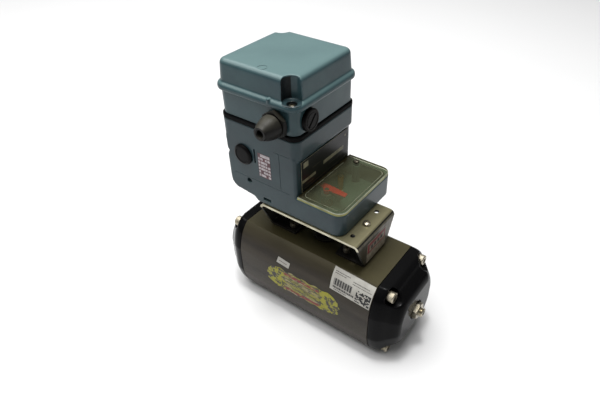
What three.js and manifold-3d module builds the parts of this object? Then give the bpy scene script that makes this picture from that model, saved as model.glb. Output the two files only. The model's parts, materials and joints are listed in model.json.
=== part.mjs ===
// A quarter-turn rack-and-pinion pneumatic actuator with a valve positioner on a sheet bracket.
// Millimetres, +Z up. X runs along the cylinder, and the origin is under the middle of the
// overall size, on the surface that the cylinder stands on.
import * as THREE from "three";
import { mergeVertices } from "three/addons/utils/BufferGeometryUtils.js";
import Module from "manifold-3d";

const wasm = await Module();
wasm.setup();

// ---- driving dimensions ----
const GAP = 0.3; // between two pieces that touch
const PINION_Y = -5.5; // the pinion axis, seen from the middle of the overall depth

// cylinder
const CYL_HALF_LENGTH = 97;
const CYL_HEIGHT = 112;
const CYL_HALF_WIDTH = 57;
const CYL_FLAT = 39; // half width of the flat top and bottom
const CYL_SIDE = 19; // half height of the flat sides
const CYL_BOW = [52.5, 46.5]; // where the tangents of a shoulder meet, from the bore's axis
const BORE_RADIUS = 43;
const AXIS_Z = CYL_HEIGHT / 2;

// end caps
const CAP_BOLT_Y = 35.9;
const CAP_BOLT_Z = 45.2;
const CAP_SEAT = 12.4; // bolt seat, outwards from the cylinder's end
const CAP_BOLT_RADIUS = 4;
const CAP_BOLT_DEPTH = 20; // bolt length inside the cylinder
const CAP_BOSS_TOP = 28.6; // seat of the lock nut
const STOP_RADIUS = 6;
const STOP_NUT = 19; // across its flats
const STOP_TIP = 43.8; // outer end of the stop screw, outwards from the cylinder's end
const STOP_REACH = 4; // its inner end, inside the cylinder, where the piston meets it

// pinion, racks and pistons
const MODULE = 2;
const TEETH = 16;
const PITCH_RADIUS = (MODULE * TEETH) / 2;
const PRESSURE_ANGLE = (25 * Math.PI) / 180;
const BACKLASH = 0.3;
const ADDENDUM = 1.7;
const DEDENDUM = 2.5;
const GEAR_HALF_HEIGHT = 16;
const UPPER_JOURNAL = 11;
const LOWER_JOURNAL = 14.6;
const BUSH_WALL = 3;
const PINION_TOP = CYL_HEIGHT + 20;
const DRIVE_SQUARE = 17;
const DRIVE_DEPTH = 19;
const PISTON_INNER = 62; // inner and outer faces of a piston's crown, from the pinion axis
const PISTON_OUTER = 80;
const RACK_END = 30; // how far a rack runs past the pinion axis
const RACK_BACK = 30; // back of a rack, from the pinion axis
const RACK_HALF_HEIGHT = 13;

// bracket
const SHEET = 3;
const BRACKET_HALF_LENGTH = 69.9;
const BRACKET_HALF_WIDTH = 40;
const BRACKET_FOOT_HALF_WIDTH = 24.8;
const BRACKET_TOP = 42.4; // over the cylinder
const FOOT_HOLE_X = 40; // the 80 x 30 hole pattern of a top mounting
const FOOT_HOLE_Y = 15;

// positioner, heights from the bracket's top face, depths and lengths from the pinion axis
const BOX = { west: -118.6, east: -11.2, south: -38.5, north: 74, corner: 12 };
const COLLAR = { ...BOX, corner: 9.5 };
const COLUMN = { west: -116.2, east: -14.1, south: -38.5, north: 69, corner: 4 };
const FOOT = { west: -73.4, east: 46.5, south: -38.5, north: 70.3, corner: 12 };
const WALL = 4.5;
const FOOT_TOP = 28.6;
const COLLAR_BOTTOM = 77.6;
const COLLAR_TOP = 100.8;
const GASKET_TOP = 106.6;
const GASKET_PROUD = 0.7;
const BOX_INSET = 1.2; // how far the terminal box's walls stand in from the collar's
const BOX_TOP = 134.6;
const RIM_TOP = 143;
const COVER_TOP = 167.6;
const RIM_OUT = 3;
const COVER_BASE_IN = 1.2; // how far the cover's walls stand in from the collar's, at the rim
const COVER_DRAFT = 1.4; // and how much more at the top
const NOTCH = { x: -19.6, y: -32, radius: 10.3, pocket: 7, floor: 138.5 };
const WINDOW_WEST = -13.6; // the window's other edges follow the foot's
const WINDOW_TOP = 31.9;
const WINDOW_PANEL = { west: -9.5, east: 41, south: -31.5, north: 59.5, corner: 6 };
const WINDOW_SCREW = [2.7, 58.9];
const NAMEPLATE = { south: -29.5, north: 62, bottom: 32.6, top: 73.2 };
const DRAIN = { x: -84.2, z: 26.3, radius: 2.8 };
const AIR_PORTS = { south: 0, north: 32, z: 42.5, radius: 6 };
const SHAFT_RADIUS = 3;
const POINTER_Z = 24.5;
const CAM_Z = 16;
const LEVER_PIVOT = new THREE.Vector2(-6, 38);
const ROLLER = new THREE.Vector2(8, 17);
const ROLLER_RADIUS = 3;
const CAM_GAP = 0.5;
const LEVER_RATIO = 0.15; // lever turn for each turn of the cam
const GLAND = { x: -35.2, z: 118.5 };
const PLUG = { y: -15, z: 119.6, radius: 12.6 };
const SIDE_PLUG = { x: -88.3, z: 61.6 };

// ---- materials ----
const paint = (color, roughness, metalness = 0) =>
  new THREE.MeshStandardMaterial({ color, roughness, metalness });
const oliveBody = paint(0x4a4638, 0.5, 0.6);
const blackPaint = paint(0x1c1c1e, 0.25);
const steel = paint(0xb5b0a2, 0.35, 0.9);
const sheetSteel = paint(0x96917a, 0.4, 0.8);
const darkSteel = paint(0x4c4c50, 0.4, 0.9);
const castAluminium = paint(0xa0a2a4, 0.5, 0.8);
const tealPaint = paint(0x5a7880, 0.45);
const blackRubber = paint(0x151515, 0.8);
const blackPlastic = paint(0x24211f, 0.5);
const greyPlastic = paint(0x46443e, 0.5);
const redPlastic = paint(0xa51e19, 0.4);
const brass = paint(0xb08a45, 0.35, 0.9);
const bronze = paint(0x9a7448, 0.45, 0.8);
const whitePlastic = paint(0xd8d4c8, 0.5);
const greenPlastic = paint(0x3f6f4a, 0.5);
const clearPlastic = new THREE.MeshStandardMaterial({
  color: 0xb9b98f,
  roughness: 0.15,
  transparent: true,
  opacity: 0.35,
});

// ---- solids ----
// A closed geometry as a manifold solid, without the flat triangles that meet a lathe's axis.
function solid(geometry) {
  const bare = geometry.clone();
  bare.deleteAttribute("normal");
  bare.deleteAttribute("uv");
  const merged = mergeVertices(bare, 1e-4);
  const index = merged.index.array;
  const kept = [];
  for (let i = 0; i < index.length; i += 3) {
    const [a, b, c] = index.slice(i, i + 3);
    if (a !== b && b !== c && c !== a) kept.push(a, b, c);
  }
  return new wasm.Manifold(
    new wasm.Mesh({
      numProp: 3,
      vertProperties: merged.attributes.position.array,
      triVerts: new Uint32Array(kept),
    }),
  );
}

function geometryOf(made) {
  const mesh = made.getMesh();
  const geometry = new THREE.BufferGeometry();
  geometry.setAttribute("position", new THREE.BufferAttribute(mesh.vertProperties, 3));
  geometry.setIndex(new THREE.BufferAttribute(mesh.triVerts, 1));
  geometry.computeVertexNormals();
  return geometry;
}

const joined = (...solids) => solids.reduce((all, next) => all.add(next));
const cut = (body, ...tools) => tools.reduce((left, tool) => left.subtract(tool), body);

// An outline in XY, pushed up from z0 to z1.
function prism(shape, z0, z1, curveSegments = 3) {
  const settings = { depth: z1 - z0, bevelEnabled: false, curveSegments };
  return solid(new THREE.ExtrudeGeometry(shape, settings).translate(0, 0, z0));
}

function block(x0, x1, y0, y1, z0, z1) {
  const box = new THREE.BoxGeometry(x1 - x0, y1 - y0, z1 - z0);
  return solid(box.translate((x0 + x1) / 2, (y0 + y1) / 2, (z0 + z1) / 2));
}

// A round bar on a vertical axis through (x, y).
function rod(radius, z0, z1, segments = 16, x = 0, y = 0) {
  const bar = new THREE.CylinderGeometry(radius, radius, z1 - z0, segments);
  return solid(bar.rotateX(Math.PI / 2).translate(x, y, (z0 + z1) / 2));
}

// A solid of revolution about Z. The profile is [radius, z] pairs, upwards on the outside.
function turned(profile, segments = 16) {
  const points = profile.map(([radius, z]) => new THREE.Vector2(radius, z));
  return solid(new THREE.LatheGeometry(points, segments).rotateX(Math.PI / 2));
}

const ringOf = (inner, outer, z0, z1, segments = 20) =>
  turned([[inner, z0], [outer, z0], [outer, z1], [inner, z1], [inner, z0]], segments);

function roundedRectangle({ west, east, south, north, corner }, out = 0) {
  const [x0, x1, y0, y1] = [west - out, east + out, south - out, north + out];
  const r = corner + out;
  const shape = new THREE.Shape();
  shape.absarc(x1 - r, y1 - r, r, 0, Math.PI / 2);
  shape.absarc(x0 + r, y1 - r, r, Math.PI / 2, Math.PI);
  shape.absarc(x0 + r, y0 + r, r, Math.PI, 1.5 * Math.PI);
  shape.absarc(x1 - r, y0 + r, r, 1.5 * Math.PI, 2 * Math.PI);
  return shape;
}

function hexagon(acrossFlats, turn = 0) {
  const radius = acrossFlats / Math.sqrt(3);
  const corners = [];
  for (let i = 0; i < 6; i += 1) {
    const angle = (i * Math.PI) / 3 + turn;
    corners.push(new THREE.Vector2(radius * Math.cos(angle), radius * Math.sin(angle)));
  }
  return new THREE.Shape(corners);
}

// A skin through equal outlines at rising heights, closed at both ends.
function loft(rings) {
  const count = rings[0].points.length;
  const positions = rings.flatMap(({ z, points }) => points.flatMap((p) => [p.x, p.y, z]));
  const index = [];
  for (let level = 0; level + 1 < rings.length; level += 1) {
    for (let i = 0; i < count; i += 1) {
      const a = level * count + i;
      const b = level * count + ((i + 1) % count);
      index.push(a, b, b + count, a, b + count, a + count);
    }
  }
  const top = (rings.length - 1) * count;
  for (let i = 1; i + 1 < count; i += 1) {
    index.push(0, i + 1, i, top, top + i, top + i + 1);
  }
  const geometry = new THREE.BufferGeometry();
  geometry.setAttribute("position", new THREE.Float32BufferAttribute(positions, 3));
  geometry.setIndex(index);
  return solid(geometry);
}

const outlinePoints = (shape, divisions = 4) => {
  const points = shape.getPoints(divisions);
  const closed = points[0].distanceTo(points[points.length - 1]) < 1e-6;
  return closed ? points.slice(0, -1) : points;
};

// Local Z laid along +X (outline x and y become Y and Z), along -Y (they become X and Z), and
// along +Y (they become -X and Z).
const X = new THREE.Vector3(1, 0, 0);
const Y = new THREE.Vector3(0, 1, 0);
const Z = new THREE.Vector3(0, 0, 1);
const ALONG_X = new THREE.Matrix4().makeBasis(Y, Z, X);
const ALONG_SOUTH = new THREE.Matrix4().makeBasis(X, Z, Y.clone().negate());
const ALONG_NORTH = new THREE.Matrix4().makeBasis(X.clone().negate(), Z, Y);
const laid = (made, matrix) => solid(geometryOf(made).applyMatrix4(matrix));
const moved = (made, x, y, z) => made.translate([x, y, z]);

function add(parent, name, made, material, x = 0, y = 0, z = 0) {
  const mesh = new THREE.Mesh(geometryOf(made), material);
  mesh.name = name;
  mesh.position.set(x, y, z);
  parent.add(mesh);
}

// A socket-head cap screw: its head stands on z = 0 and its shank hangs below.
function socketScrew(shankRadius, length, segments = 12) {
  const headRadius = shankRadius * 1.65;
  const headHeight = shankRadius * 2;
  const body = turned(
    [
      [0, -length],
      [shankRadius, -length],
      [shankRadius, 0],
      [headRadius, 0],
      [headRadius, headHeight],
      [0, headHeight],
    ],
    segments,
  );
  return cut(body, prism(hexagon(shankRadius * 1.6), headHeight * 0.4, headHeight + 1));
}

// A pan-head screw with a cross-wise slot.
function panScrew(shankRadius, length, slotTurn = 0) {
  const headRadius = shankRadius * 1.9;
  const body = turned(
    [
      [0, -length],
      [shankRadius, -length],
      [shankRadius, 0],
      [headRadius, 0],
      [headRadius * 0.95, shankRadius * 0.8],
      [headRadius * 0.6, shankRadius * 1.2],
      [0, shankRadius * 1.3],
    ],
    12,
  );
  const slot = block(-headRadius, headRadius, -0.4, 0.4, shankRadius * 0.7, shankRadius * 2);
  return cut(body, slot.rotate([0, 0, slotTurn]));
}

// ---- cylinder ----
// The cross-section, Y across and Z up about the bore's axis: flat top, bottom and sides, and
// bowed shoulders between them.
function cylinderSection(insetY = 0, insetZ = 0) {
  const kx = 1 - insetY / CYL_HALF_WIDTH;
  const kz = 1 - insetZ / AXIS_Z;
  const flat = CYL_FLAT * kx;
  const wide = CYL_HALF_WIDTH * kx;
  const high = AXIS_Z * kz;
  const side = CYL_SIDE * kz;
  const [bowX, bowZ] = [CYL_BOW[0] * kx, CYL_BOW[1] * kz];
  const shape = new THREE.Shape();
  shape.moveTo(wide, -side);
  shape.lineTo(wide, side);
  shape.quadraticCurveTo(bowX, bowZ, flat, high);
  shape.lineTo(-flat, high);
  shape.quadraticCurveTo(-bowX, bowZ, -wide, side);
  shape.lineTo(-wide, -side);
  shape.quadraticCurveTo(-bowX, -bowZ, -flat, -high);
  shape.lineTo(flat, -high);
  shape.quadraticCurveTo(bowX, -bowZ, wide, -side);
  return shape;
}

function cylinderBody() {
  const bar = prism(cylinderSection(), -CYL_HALF_LENGTH, CYL_HALF_LENGTH, 4);
  const boltHoles = [];
  for (const y of [-CAP_BOLT_Y, CAP_BOLT_Y]) {
    for (const z of [-CAP_BOLT_Z, CAP_BOLT_Z]) {
      const radius = CAP_BOLT_RADIUS + GAP;
      const depth = CYL_HALF_LENGTH - CAP_BOLT_DEPTH - 2;
      boltHoles.push(rod(radius, depth, CYL_HALF_LENGTH + 1, 10, y, z));
      boltHoles.push(rod(radius, -CYL_HALF_LENGTH - 1, -depth, 10, y, z));
    }
  }
  const bored = cut(
    bar,
    rod(BORE_RADIUS, -CYL_HALF_LENGTH - 1, CYL_HALF_LENGTH + 1, 32),
    ...boltHoles,
  );
  const tube = moved(laid(bored, ALONG_X), 0, 0, AXIS_Z);
  const footHoles = [-FOOT_HOLE_X, FOOT_HOLE_X].flatMap((x) =>
    [-FOOT_HOLE_Y, FOOT_HOLE_Y].map((y) => rod(3 + GAP, CYL_HEIGHT - 11, CYL_HEIGHT + 1, 12, x, y)),
  );
  const flangeHole = 24.75; // four holes on a 70 mm circle
  const flangeHoles = [-flangeHole, flangeHole].flatMap((x) =>
    [-flangeHole, flangeHole].map((y) => rod(4, -1, 12, 12, x, y)),
  );
  const inwards = (x, z, radius, depth) =>
    moved(laid(rod(radius, -depth, 1, 10), ALONG_NORTH), x, CYL_HALF_WIDTH, z);
  const airPorts = [-12, 12].map((x) => inwards(x, AXIS_Z, 5.5, 16));
  const padHoles = [-16, 16].flatMap((x) => [-12, 12].map((z) => inwards(x, AXIS_Z + z, 2.5, 7)));
  return cut(
    tube,
    rod(UPPER_JOURNAL + BUSH_WALL + 2 * GAP, AXIS_Z, CYL_HEIGHT + 1, 24),
    rod(LOWER_JOURNAL + BUSH_WALL + 2 * GAP, -1, AXIS_Z, 24),
    ...footHoles,
    ...flangeHoles,
    ...airPorts,
    ...padHoles,
  );
}

// ---- end caps, built about the bore's axis with Z outwards from the cylinder's end ----
function endCap() {
  // how far out each ring is, and how far it has drawn in from the section, up and sideways
  const dome = [
    [GAP, 0, 0],
    [6, 0, 0.4],
    [10.5, 0.3, 1.6],
    [14, 1.4, 3.4],
    [17.8, 5.2, 6],
    [21.4, 10.4, 8.8],
    [25.4, 15.4, 11.4],
    [29, 19.6, 14],
    [32, 24, 17],
    [33.6, 29, 20.5],
  ];
  const skin = loft(
    dome.map(([z, up, sideways]) => ({ z, points: outlinePoints(cylinderSection(sideways, up)) })),
  );
  const boltCuts = [-CAP_BOLT_Y, CAP_BOLT_Y].flatMap((y) =>
    [-CAP_BOLT_Z, CAP_BOLT_Z].flatMap((z) => [
      rod(10.4, CAP_SEAT, 40, 16, y, z),
      rod(CAP_BOLT_RADIUS + GAP, -1, 40, 10, y, z),
    ]),
  );
  const nutRecess = rod(12.5, CAP_BOSS_TOP, 40, 24);
  const hollow = turned([[0, -1], [38, -1], [38, 8], [28, 19], [0, 19]], 20);
  const stopHole = rod(STOP_RADIUS + GAP, 0, 40, 16);
  return laid(cut(skin, hollow, nutRecess, stopHole, ...boltCuts), ALONG_X);
}

function stopScrew() {
  const tip = STOP_TIP;
  const bar = turned(
    [
      [0, -STOP_REACH],
      [STOP_RADIUS, -STOP_REACH],
      [STOP_RADIUS, tip - 1],
      [STOP_RADIUS - 1, tip],
      [0, tip],
    ],
    16,
  );
  return laid(cut(bar, prism(hexagon(5), tip - 4, tip + 1)), ALONG_X);
}

function lockNut() {
  const nut = prism(hexagon(STOP_NUT), CAP_BOSS_TOP + GAP, CAP_BOSS_TOP + 10);
  return laid(cut(nut, rod(STOP_RADIUS + GAP, 0, 60, 16)), ALONG_X);
}

function addEnd(actuator, side, turn) {
  const end = new THREE.Group();
  end.rotation.z = turn;
  const face = CYL_HALF_LENGTH;
  add(end, `end_cap_${side}`, endCap(), blackPaint, face, 0, AXIS_Z);
  add(end, `stop_screw_${side}`, stopScrew(), steel, face, 0, AXIS_Z);
  add(end, `stop_nut_${side}`, lockNut(), steel, face, 0, AXIS_Z);
  const bolt = laid(socketScrew(CAP_BOLT_RADIUS, CAP_SEAT + CAP_BOLT_DEPTH), ALONG_X);
  let number = 1;
  for (const z of [CAP_BOLT_Z, -CAP_BOLT_Z]) {
    for (const y of [-CAP_BOLT_Y, CAP_BOLT_Y]) {
      add(end, `cap_bolt_${side}_${number}`, bolt, steel, face + CAP_SEAT + GAP, y, AXIS_Z + z);
      number += 1;
    }
  }
  actuator.add(end);
}

// ---- pinion ----
const involute = (angle) => Math.tan(angle) - angle;

// Half the angle that a tooth covers at a radius.
function toothHalfAngle(radius) {
  const base = PITCH_RADIUS * Math.cos(PRESSURE_ANGLE);
  const pressure = Math.acos(Math.min(1, base / Math.max(radius, base)));
  const atPitch = Math.PI / (2 * TEETH) - BACKLASH / (2 * PITCH_RADIUS);
  return atPitch + involute(PRESSURE_ANGLE) - involute(pressure);
}

function gearShape() {
  const radii = [PITCH_RADIUS - DEDENDUM, 14.6, PITCH_RADIUS, PITCH_RADIUS + ADDENDUM];
  const points = [];
  for (let tooth = 0; tooth < TEETH; tooth += 1) {
    const middle = (tooth * 2 * Math.PI) / TEETH;
    const flank = radii.map((radius) => [radius, toothHalfAngle(radius)]);
    for (const [radius, half] of flank) {
      const angle = middle - half;
      points.push(new THREE.Vector2(radius * Math.cos(angle), radius * Math.sin(angle)));
    }
    for (const [radius, half] of flank.reverse()) {
      const angle = middle + half;
      points.push(new THREE.Vector2(radius * Math.cos(angle), radius * Math.sin(angle)));
    }
  }
  return new THREE.Shape(points);
}

const RING_GROOVE = { bottom: CYL_HEIGHT + 2.6, top: CYL_HEIGHT + 4.6, radius: UPPER_JOURNAL - 1.2 };

function pinionShaft() {
  const shaft = turned(
    [
      [0, 1.5],
      [LOWER_JOURNAL, 1.5],
      [LOWER_JOURNAL, AXIS_Z - GEAR_HALF_HEIGHT],
      [UPPER_JOURNAL, AXIS_Z + GEAR_HALF_HEIGHT],
      [UPPER_JOURNAL, RING_GROOVE.bottom],
      [RING_GROOVE.radius, RING_GROOVE.bottom],
      [RING_GROOVE.radius, RING_GROOVE.top],
      [UPPER_JOURNAL, RING_GROOVE.top],
      [UPPER_JOURNAL, PINION_TOP - 1],
      [UPPER_JOURNAL - 1, PINION_TOP],
      [0, PINION_TOP],
    ],
    24,
  );
  const gear = prism(gearShape(), AXIS_Z - GEAR_HALF_HEIGHT, AXIS_Z + GEAR_HALF_HEIGHT);
  const half = DRIVE_SQUARE / 2;
  return cut(
    shaft.add(gear),
    block(-half, half, -half, half, 0, 1.5 + DRIVE_DEPTH),
    block(-20, 20, -2, 2, PINION_TOP - 4, PINION_TOP + 1),
  );
}

// ---- pistons, with the rack on the south side of the axis ----
function rackShape() {
  const pitch = Math.PI * MODULE;
  const slope = Math.tan(PRESSURE_ANGLE);
  const root = -(PITCH_RADIUS + DEDENDUM);
  const tip = -(PITCH_RADIUS - ADDENDUM);
  const half = pitch / 4 - BACKLASH / 2;
  const atRoot = half + DEDENDUM * slope;
  const atTip = half - ADDENDUM * slope;
  const shape = new THREE.Shape();
  shape.moveTo(-RACK_END, -RACK_BACK);
  shape.lineTo(PISTON_INNER + 2, -RACK_BACK);
  shape.lineTo(PISTON_INNER + 2, root);
  for (let tooth = 3; tooth >= -4; tooth -= 1) {
    const middle = (tooth + 0.5) * pitch;
    shape.lineTo(middle + Math.min(atRoot, pitch / 2 - 0.05), root);
    shape.lineTo(middle + atTip, tip);
    shape.lineTo(middle - atTip, tip);
    shape.lineTo(middle - Math.min(atRoot, pitch / 2 - 0.05), root);
  }
  shape.lineTo(-RACK_END, root);
  return shape;
}

const SEAL = { inner: 39.5, outer: BORE_RADIUS - 0.2, from: 69, to: 73 };

function piston() {
  const crownRadius = BORE_RADIUS - 0.4;
  const crown = turned(
    [
      [0, PISTON_INNER],
      [crownRadius, PISTON_INNER],
      [crownRadius, SEAL.from - GAP],
      [SEAL.inner - GAP, SEAL.from - GAP],
      [SEAL.inner - GAP, SEAL.to + GAP],
      [crownRadius, SEAL.to + GAP],
      [crownRadius, PISTON_OUTER],
      [0, PISTON_OUTER],
    ],
    32,
  );
  const pocket = ringOf(14, 32, PISTON_OUTER - 10, PISTON_OUTER + 1, 16);
  const rack = prism(rackShape(), -RACK_HALF_HEIGHT, RACK_HALF_HEIGHT);
  return cut(laid(crown, ALONG_X), laid(pocket, ALONG_X)).add(rack);
}

const pistonSeal = () => laid(ringOf(SEAL.inner, SEAL.outer, SEAL.from, SEAL.to, 32), ALONG_X);

function addActuator(root) {
  const actuator = new THREE.Group();
  actuator.position.y = PINION_Y;
  add(actuator, "cylinder_body", cylinderBody(), oliveBody);
  addEnd(actuator, "right", 0);
  addEnd(actuator, "left", Math.PI);
  add(actuator, "pinion_shaft", pinionShaft(), darkSteel);
  const upper = UPPER_JOURNAL + GAP;
  const lower = LOWER_JOURNAL + GAP;
  add(actuator, "upper_bush", ringOf(upper, upper + BUSH_WALL, 99.5, CYL_HEIGHT - GAP), bronze);
  add(actuator, "lower_bush", ringOf(lower, lower + BUSH_WALL, 1.5, 13.5), bronze);
  const washer = ringOf(upper, 17, CYL_HEIGHT + GAP, CYL_HEIGHT + 2.2);
  add(actuator, "thrust_washer", washer, whitePlastic);
  const ringInner = RING_GROOVE.radius + GAP;
  const ring = ringOf(ringInner, 14, RING_GROOVE.bottom + GAP, RING_GROOVE.top - GAP);
  add(actuator, "retaining_ring", ring, darkSteel);
  for (const [side, turn] of [["right", 0], ["left", Math.PI]]) {
    const half = new THREE.Group();
    half.rotation.z = turn;
    add(half, `piston_${side}`, piston(), castAluminium, 0, 0, AXIS_Z);
    add(half, `piston_seal_${side}`, pistonSeal(), blackRubber, 0, 0, AXIS_Z);
    actuator.add(half);
  }
  root.add(actuator);
}

// ---- bracket, heights from the cylinder's top ----
function bracketSection() {
  const [L, H, t] = [BRACKET_HALF_LENGTH, BRACKET_TOP, SHEET];
  const bend = 6; // outer radius
  const heel = 5;
  const toe = 30;
  const shape = new THREE.Shape();
  shape.moveTo(toe, GAP);
  shape.absarc(L - heel, GAP + heel, heel, -Math.PI / 2, 0);
  shape.absarc(L - bend, H - bend, bend, 0, Math.PI / 2);
  shape.absarc(-L + bend, H - bend, bend, Math.PI / 2, Math.PI);
  shape.absarc(-L + heel, GAP + heel, heel, Math.PI, 1.5 * Math.PI);
  shape.lineTo(-toe, GAP);
  shape.lineTo(-toe, GAP + t);
  shape.absarc(-L + heel, GAP + heel, heel - t, 1.5 * Math.PI, Math.PI, true);
  shape.absarc(-L + bend, H - bend, bend - t, Math.PI, Math.PI / 2, true);
  shape.absarc(L - bend, H - bend, bend - t, Math.PI / 2, 0, true);
  shape.absarc(L - heel, GAP + heel, heel - t, 0, -Math.PI / 2, true);
  shape.lineTo(toe, GAP + t);
  return shape;
}

const HOUSING_SCREWS = [-45, 30].flatMap((x) => [-22, 22].map((y) => [x, y]));
const STRIP_SCREW = [55.4, 0];
const STRIP_HOLES = [[53.4, -26], [53.4, 26]];

function bracket() {
  const strip = laid(prism(bracketSection(), -BRACKET_HALF_WIDTH, BRACKET_HALF_WIDTH), ALONG_SOUTH);
  const [top, low] = [BRACKET_HALF_WIDTH, BRACKET_FOOT_HALF_WIDTH];
  const taper = new THREE.Shape();
  taper.moveTo(-low, 0);
  taper.lineTo(low, 0);
  taper.lineTo(low, 4);
  taper.lineTo(top, BRACKET_TOP - 5);
  taper.lineTo(top, BRACKET_TOP + 1);
  taper.lineTo(-top, BRACKET_TOP + 1);
  taper.lineTo(-top, BRACKET_TOP - 5);
  taper.lineTo(-low, 4);
  const sides = laid(prism(taper, -BRACKET_HALF_LENGTH - 1, BRACKET_HALF_LENGTH + 1), ALONG_X);
  const plateHole = (x, y, radius) => rod(radius, 30, 50, 10, x, y);
  const footHole = (x, y) => rod(3 + GAP, -1, 8, 10, x, y);
  return cut(
    strip.intersect(sides),
    rod(10, 30, 50, 24),
    ...HOUSING_SCREWS.map(([x, y]) => plateHole(x, y, 3 + GAP)),
    ...STRIP_HOLES.map(([x, y]) => plateHole(x, y, 2.6)),
    plateHole(...STRIP_SCREW, 2.5 + GAP),
    ...[-FOOT_HOLE_X, FOOT_HOLE_X].flatMap((x) =>
      [-FOOT_HOLE_Y, FOOT_HOLE_Y].map((y) => footHole(x, y)),
    ),
  );
}

// The disc that turns with the pinion: a tongue below, a socket for the feedback shaft above.
function driveCoupling() {
  const base = PINION_TOP - CYL_HEIGHT + GAP;
  const body = turned(
    [
      [0, base],
      [12, base],
      [12, base + 3],
      [24, base + 3],
      [24, base + 7],
      [8, base + 7],
      [8, base + 14],
      [0, base + 14],
    ],
    24,
  );
  const tongue = block(-9, 9, -1.7, 1.7, base - 3.6, base + 1);
  return cut(body.add(tongue), rod(SHAFT_RADIUS + GAP, base + 6, base + 20, 16));
}

function addBracket(root) {
  const group = new THREE.Group();
  group.position.set(0, PINION_Y, CYL_HEIGHT);
  add(group, "mounting_bracket", bracket(), sheetSteel);
  let number = 1;
  for (const x of [-FOOT_HOLE_X, FOOT_HOLE_X]) {
    for (const y of [-FOOT_HOLE_Y, FOOT_HOLE_Y]) {
      add(group, `bracket_screw_${number}`, socketScrew(3, 13), steel, x, y, SHEET + 2 * GAP);
      number += 1;
    }
  }
  const under = socketScrew(3, 11).rotate([180, 0, 0]);
  HOUSING_SCREWS.forEach(([x, y], i) => {
    add(group, `positioner_screw_${i + 1}`, under, steel, x, y, BRACKET_TOP - SHEET - GAP);
  });
  add(group, "strip_screw", panScrew(2.5, 7, 30), steel, ...STRIP_SCREW, BRACKET_TOP + GAP);
  add(group, "drive_coupling", driveCoupling(), blackPlastic);
  root.add(group);
}

// ---- positioner housing: a column on a broad foot ----
function columnOutline() {
  const shape = new THREE.Shape();
  shape.moveTo(COLUMN.east, GAP);
  shape.lineTo(COLUMN.east, COLLAR_BOTTOM + 2);
  shape.lineTo(-114.3, COLLAR_BOTTOM + 2);
  shape.lineTo(-114.3, 62);
  shape.lineTo(-111.4, 58.4);
  shape.lineTo(COLUMN.west, 51);
  shape.lineTo(COLUMN.west, 33);
  shape.quadraticCurveTo(-115.6, 15, -106.5, 8.6);
  shape.lineTo(-79.6, 5.5);
  shape.lineTo(-73.4, GAP);
  return shape;
}

const inset = (frame, by) => ({
  west: frame.west + by,
  east: frame.east - by,
  south: frame.south + by,
  north: frame.north - by,
  corner: Math.max(frame.corner - by, 2),
});

function housing() {
  const depth = prism(columnOutline(), -COLUMN.north, -COLUMN.south);
  const column = laid(depth, ALONG_SOUTH).intersect(
    prism(roundedRectangle(COLUMN), -5, COLLAR_BOTTOM + 5),
  );
  const collar = loft([
    { z: COLLAR_BOTTOM - 4, points: outlinePoints(roundedRectangle(COLUMN), 3) },
    { z: COLLAR_BOTTOM, points: outlinePoints(roundedRectangle(COLLAR), 3) },
    { z: COLLAR_TOP, points: outlinePoints(roundedRectangle(COLLAR), 3) },
  ]);
  const foot = prism(roundedRectangle(FOOT), GAP, FOOT_TOP);
  const footChamber = inset({ ...FOOT, west: -68 - WALL }, WALL);
  const columnChamber = {
    west: COLUMN.west + 9,
    east: COLUMN.east - WALL,
    south: COLUMN.south + WALL,
    north: COLUMN.north - WALL,
    corner: 5,
  };
  const floor = WALL;
  const hollow = joined(
    prism(roundedRectangle(footChamber), floor, FOOT_TOP - 2),
    prism(roundedRectangle({ ...footChamber, west: COLUMN.east - 0.1 }), 20, FOOT_TOP + 1),
    prism(roundedRectangle(columnChamber), 14, COLLAR_TOP + 1),
  );
  const bosses = joined(
    ...HOUSING_SCREWS.map(([x, y]) => rod(6, GAP, 11, 12, x, y)),
    rod(5, GAP, FOOT_TOP, 16, ...WINDOW_SCREW),
  );
  const screwHoles = HOUSING_SCREWS.map(([x, y]) => rod(3 + GAP, -1, 9, 10, x, y));
  const southHole = (x, z, radius, depthIn) =>
    moved(laid(rod(radius, -depthIn, 1, 12), ALONG_SOUTH), x, COLUMN.south, z);
  const westPorts = [AIR_PORTS.south, AIR_PORTS.north].map((y) =>
    moved(laid(rod(AIR_PORTS.radius, -1, 8, 12), ALONG_X), COLUMN.west, y, AIR_PORTS.z),
  );
  return cut(
    joined(column, collar, foot).subtract(hollow).add(bosses),
    ...screwHoles,
    rod(7.4, -1, 8, 20),
    rod(2 + GAP, FOOT_TOP - 9, FOOT_TOP + 1, 12, ...WINDOW_SCREW),
    southHole(SIDE_PLUG.x, SIDE_PLUG.z, 10, 12),
    southHole(DRAIN.x, DRAIN.z, DRAIN.radius, 3),
    block(-64.3, -52.6, COLUMN.south - 1, COLUMN.south + 2, 6, 10),
    ...westPorts,
  );
}

function windowCover() {
  const edge = { ...inset(FOOT, GAP), west: COLUMN.west };
  const plate = prism(roundedRectangle(edge), FOOT_TOP + GAP, WINDOW_TOP).intersect(
    block(WINDOW_WEST, FOOT.east, FOOT.south, FOOT.north, 0, WINDOW_TOP + 1),
  );
  const groove = prism(roundedRectangle(WINDOW_PANEL, 0.9), WINDOW_TOP - 0.6, WINDOW_TOP + 1).subtract(
    prism(roundedRectangle(WINDOW_PANEL), FOOT_TOP, WINDOW_TOP + 2),
  );
  return cut(plate, groove, rod(2 + GAP, 20, 40, 12, ...WINDOW_SCREW));
}

// ---- feedback works ----
const rollerAngle = Math.atan2(ROLLER.y, ROLLER.x);
const rollerReach = ROLLER.length();
const camContact = rollerReach - ROLLER_RADIUS - CAM_GAP;

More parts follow.
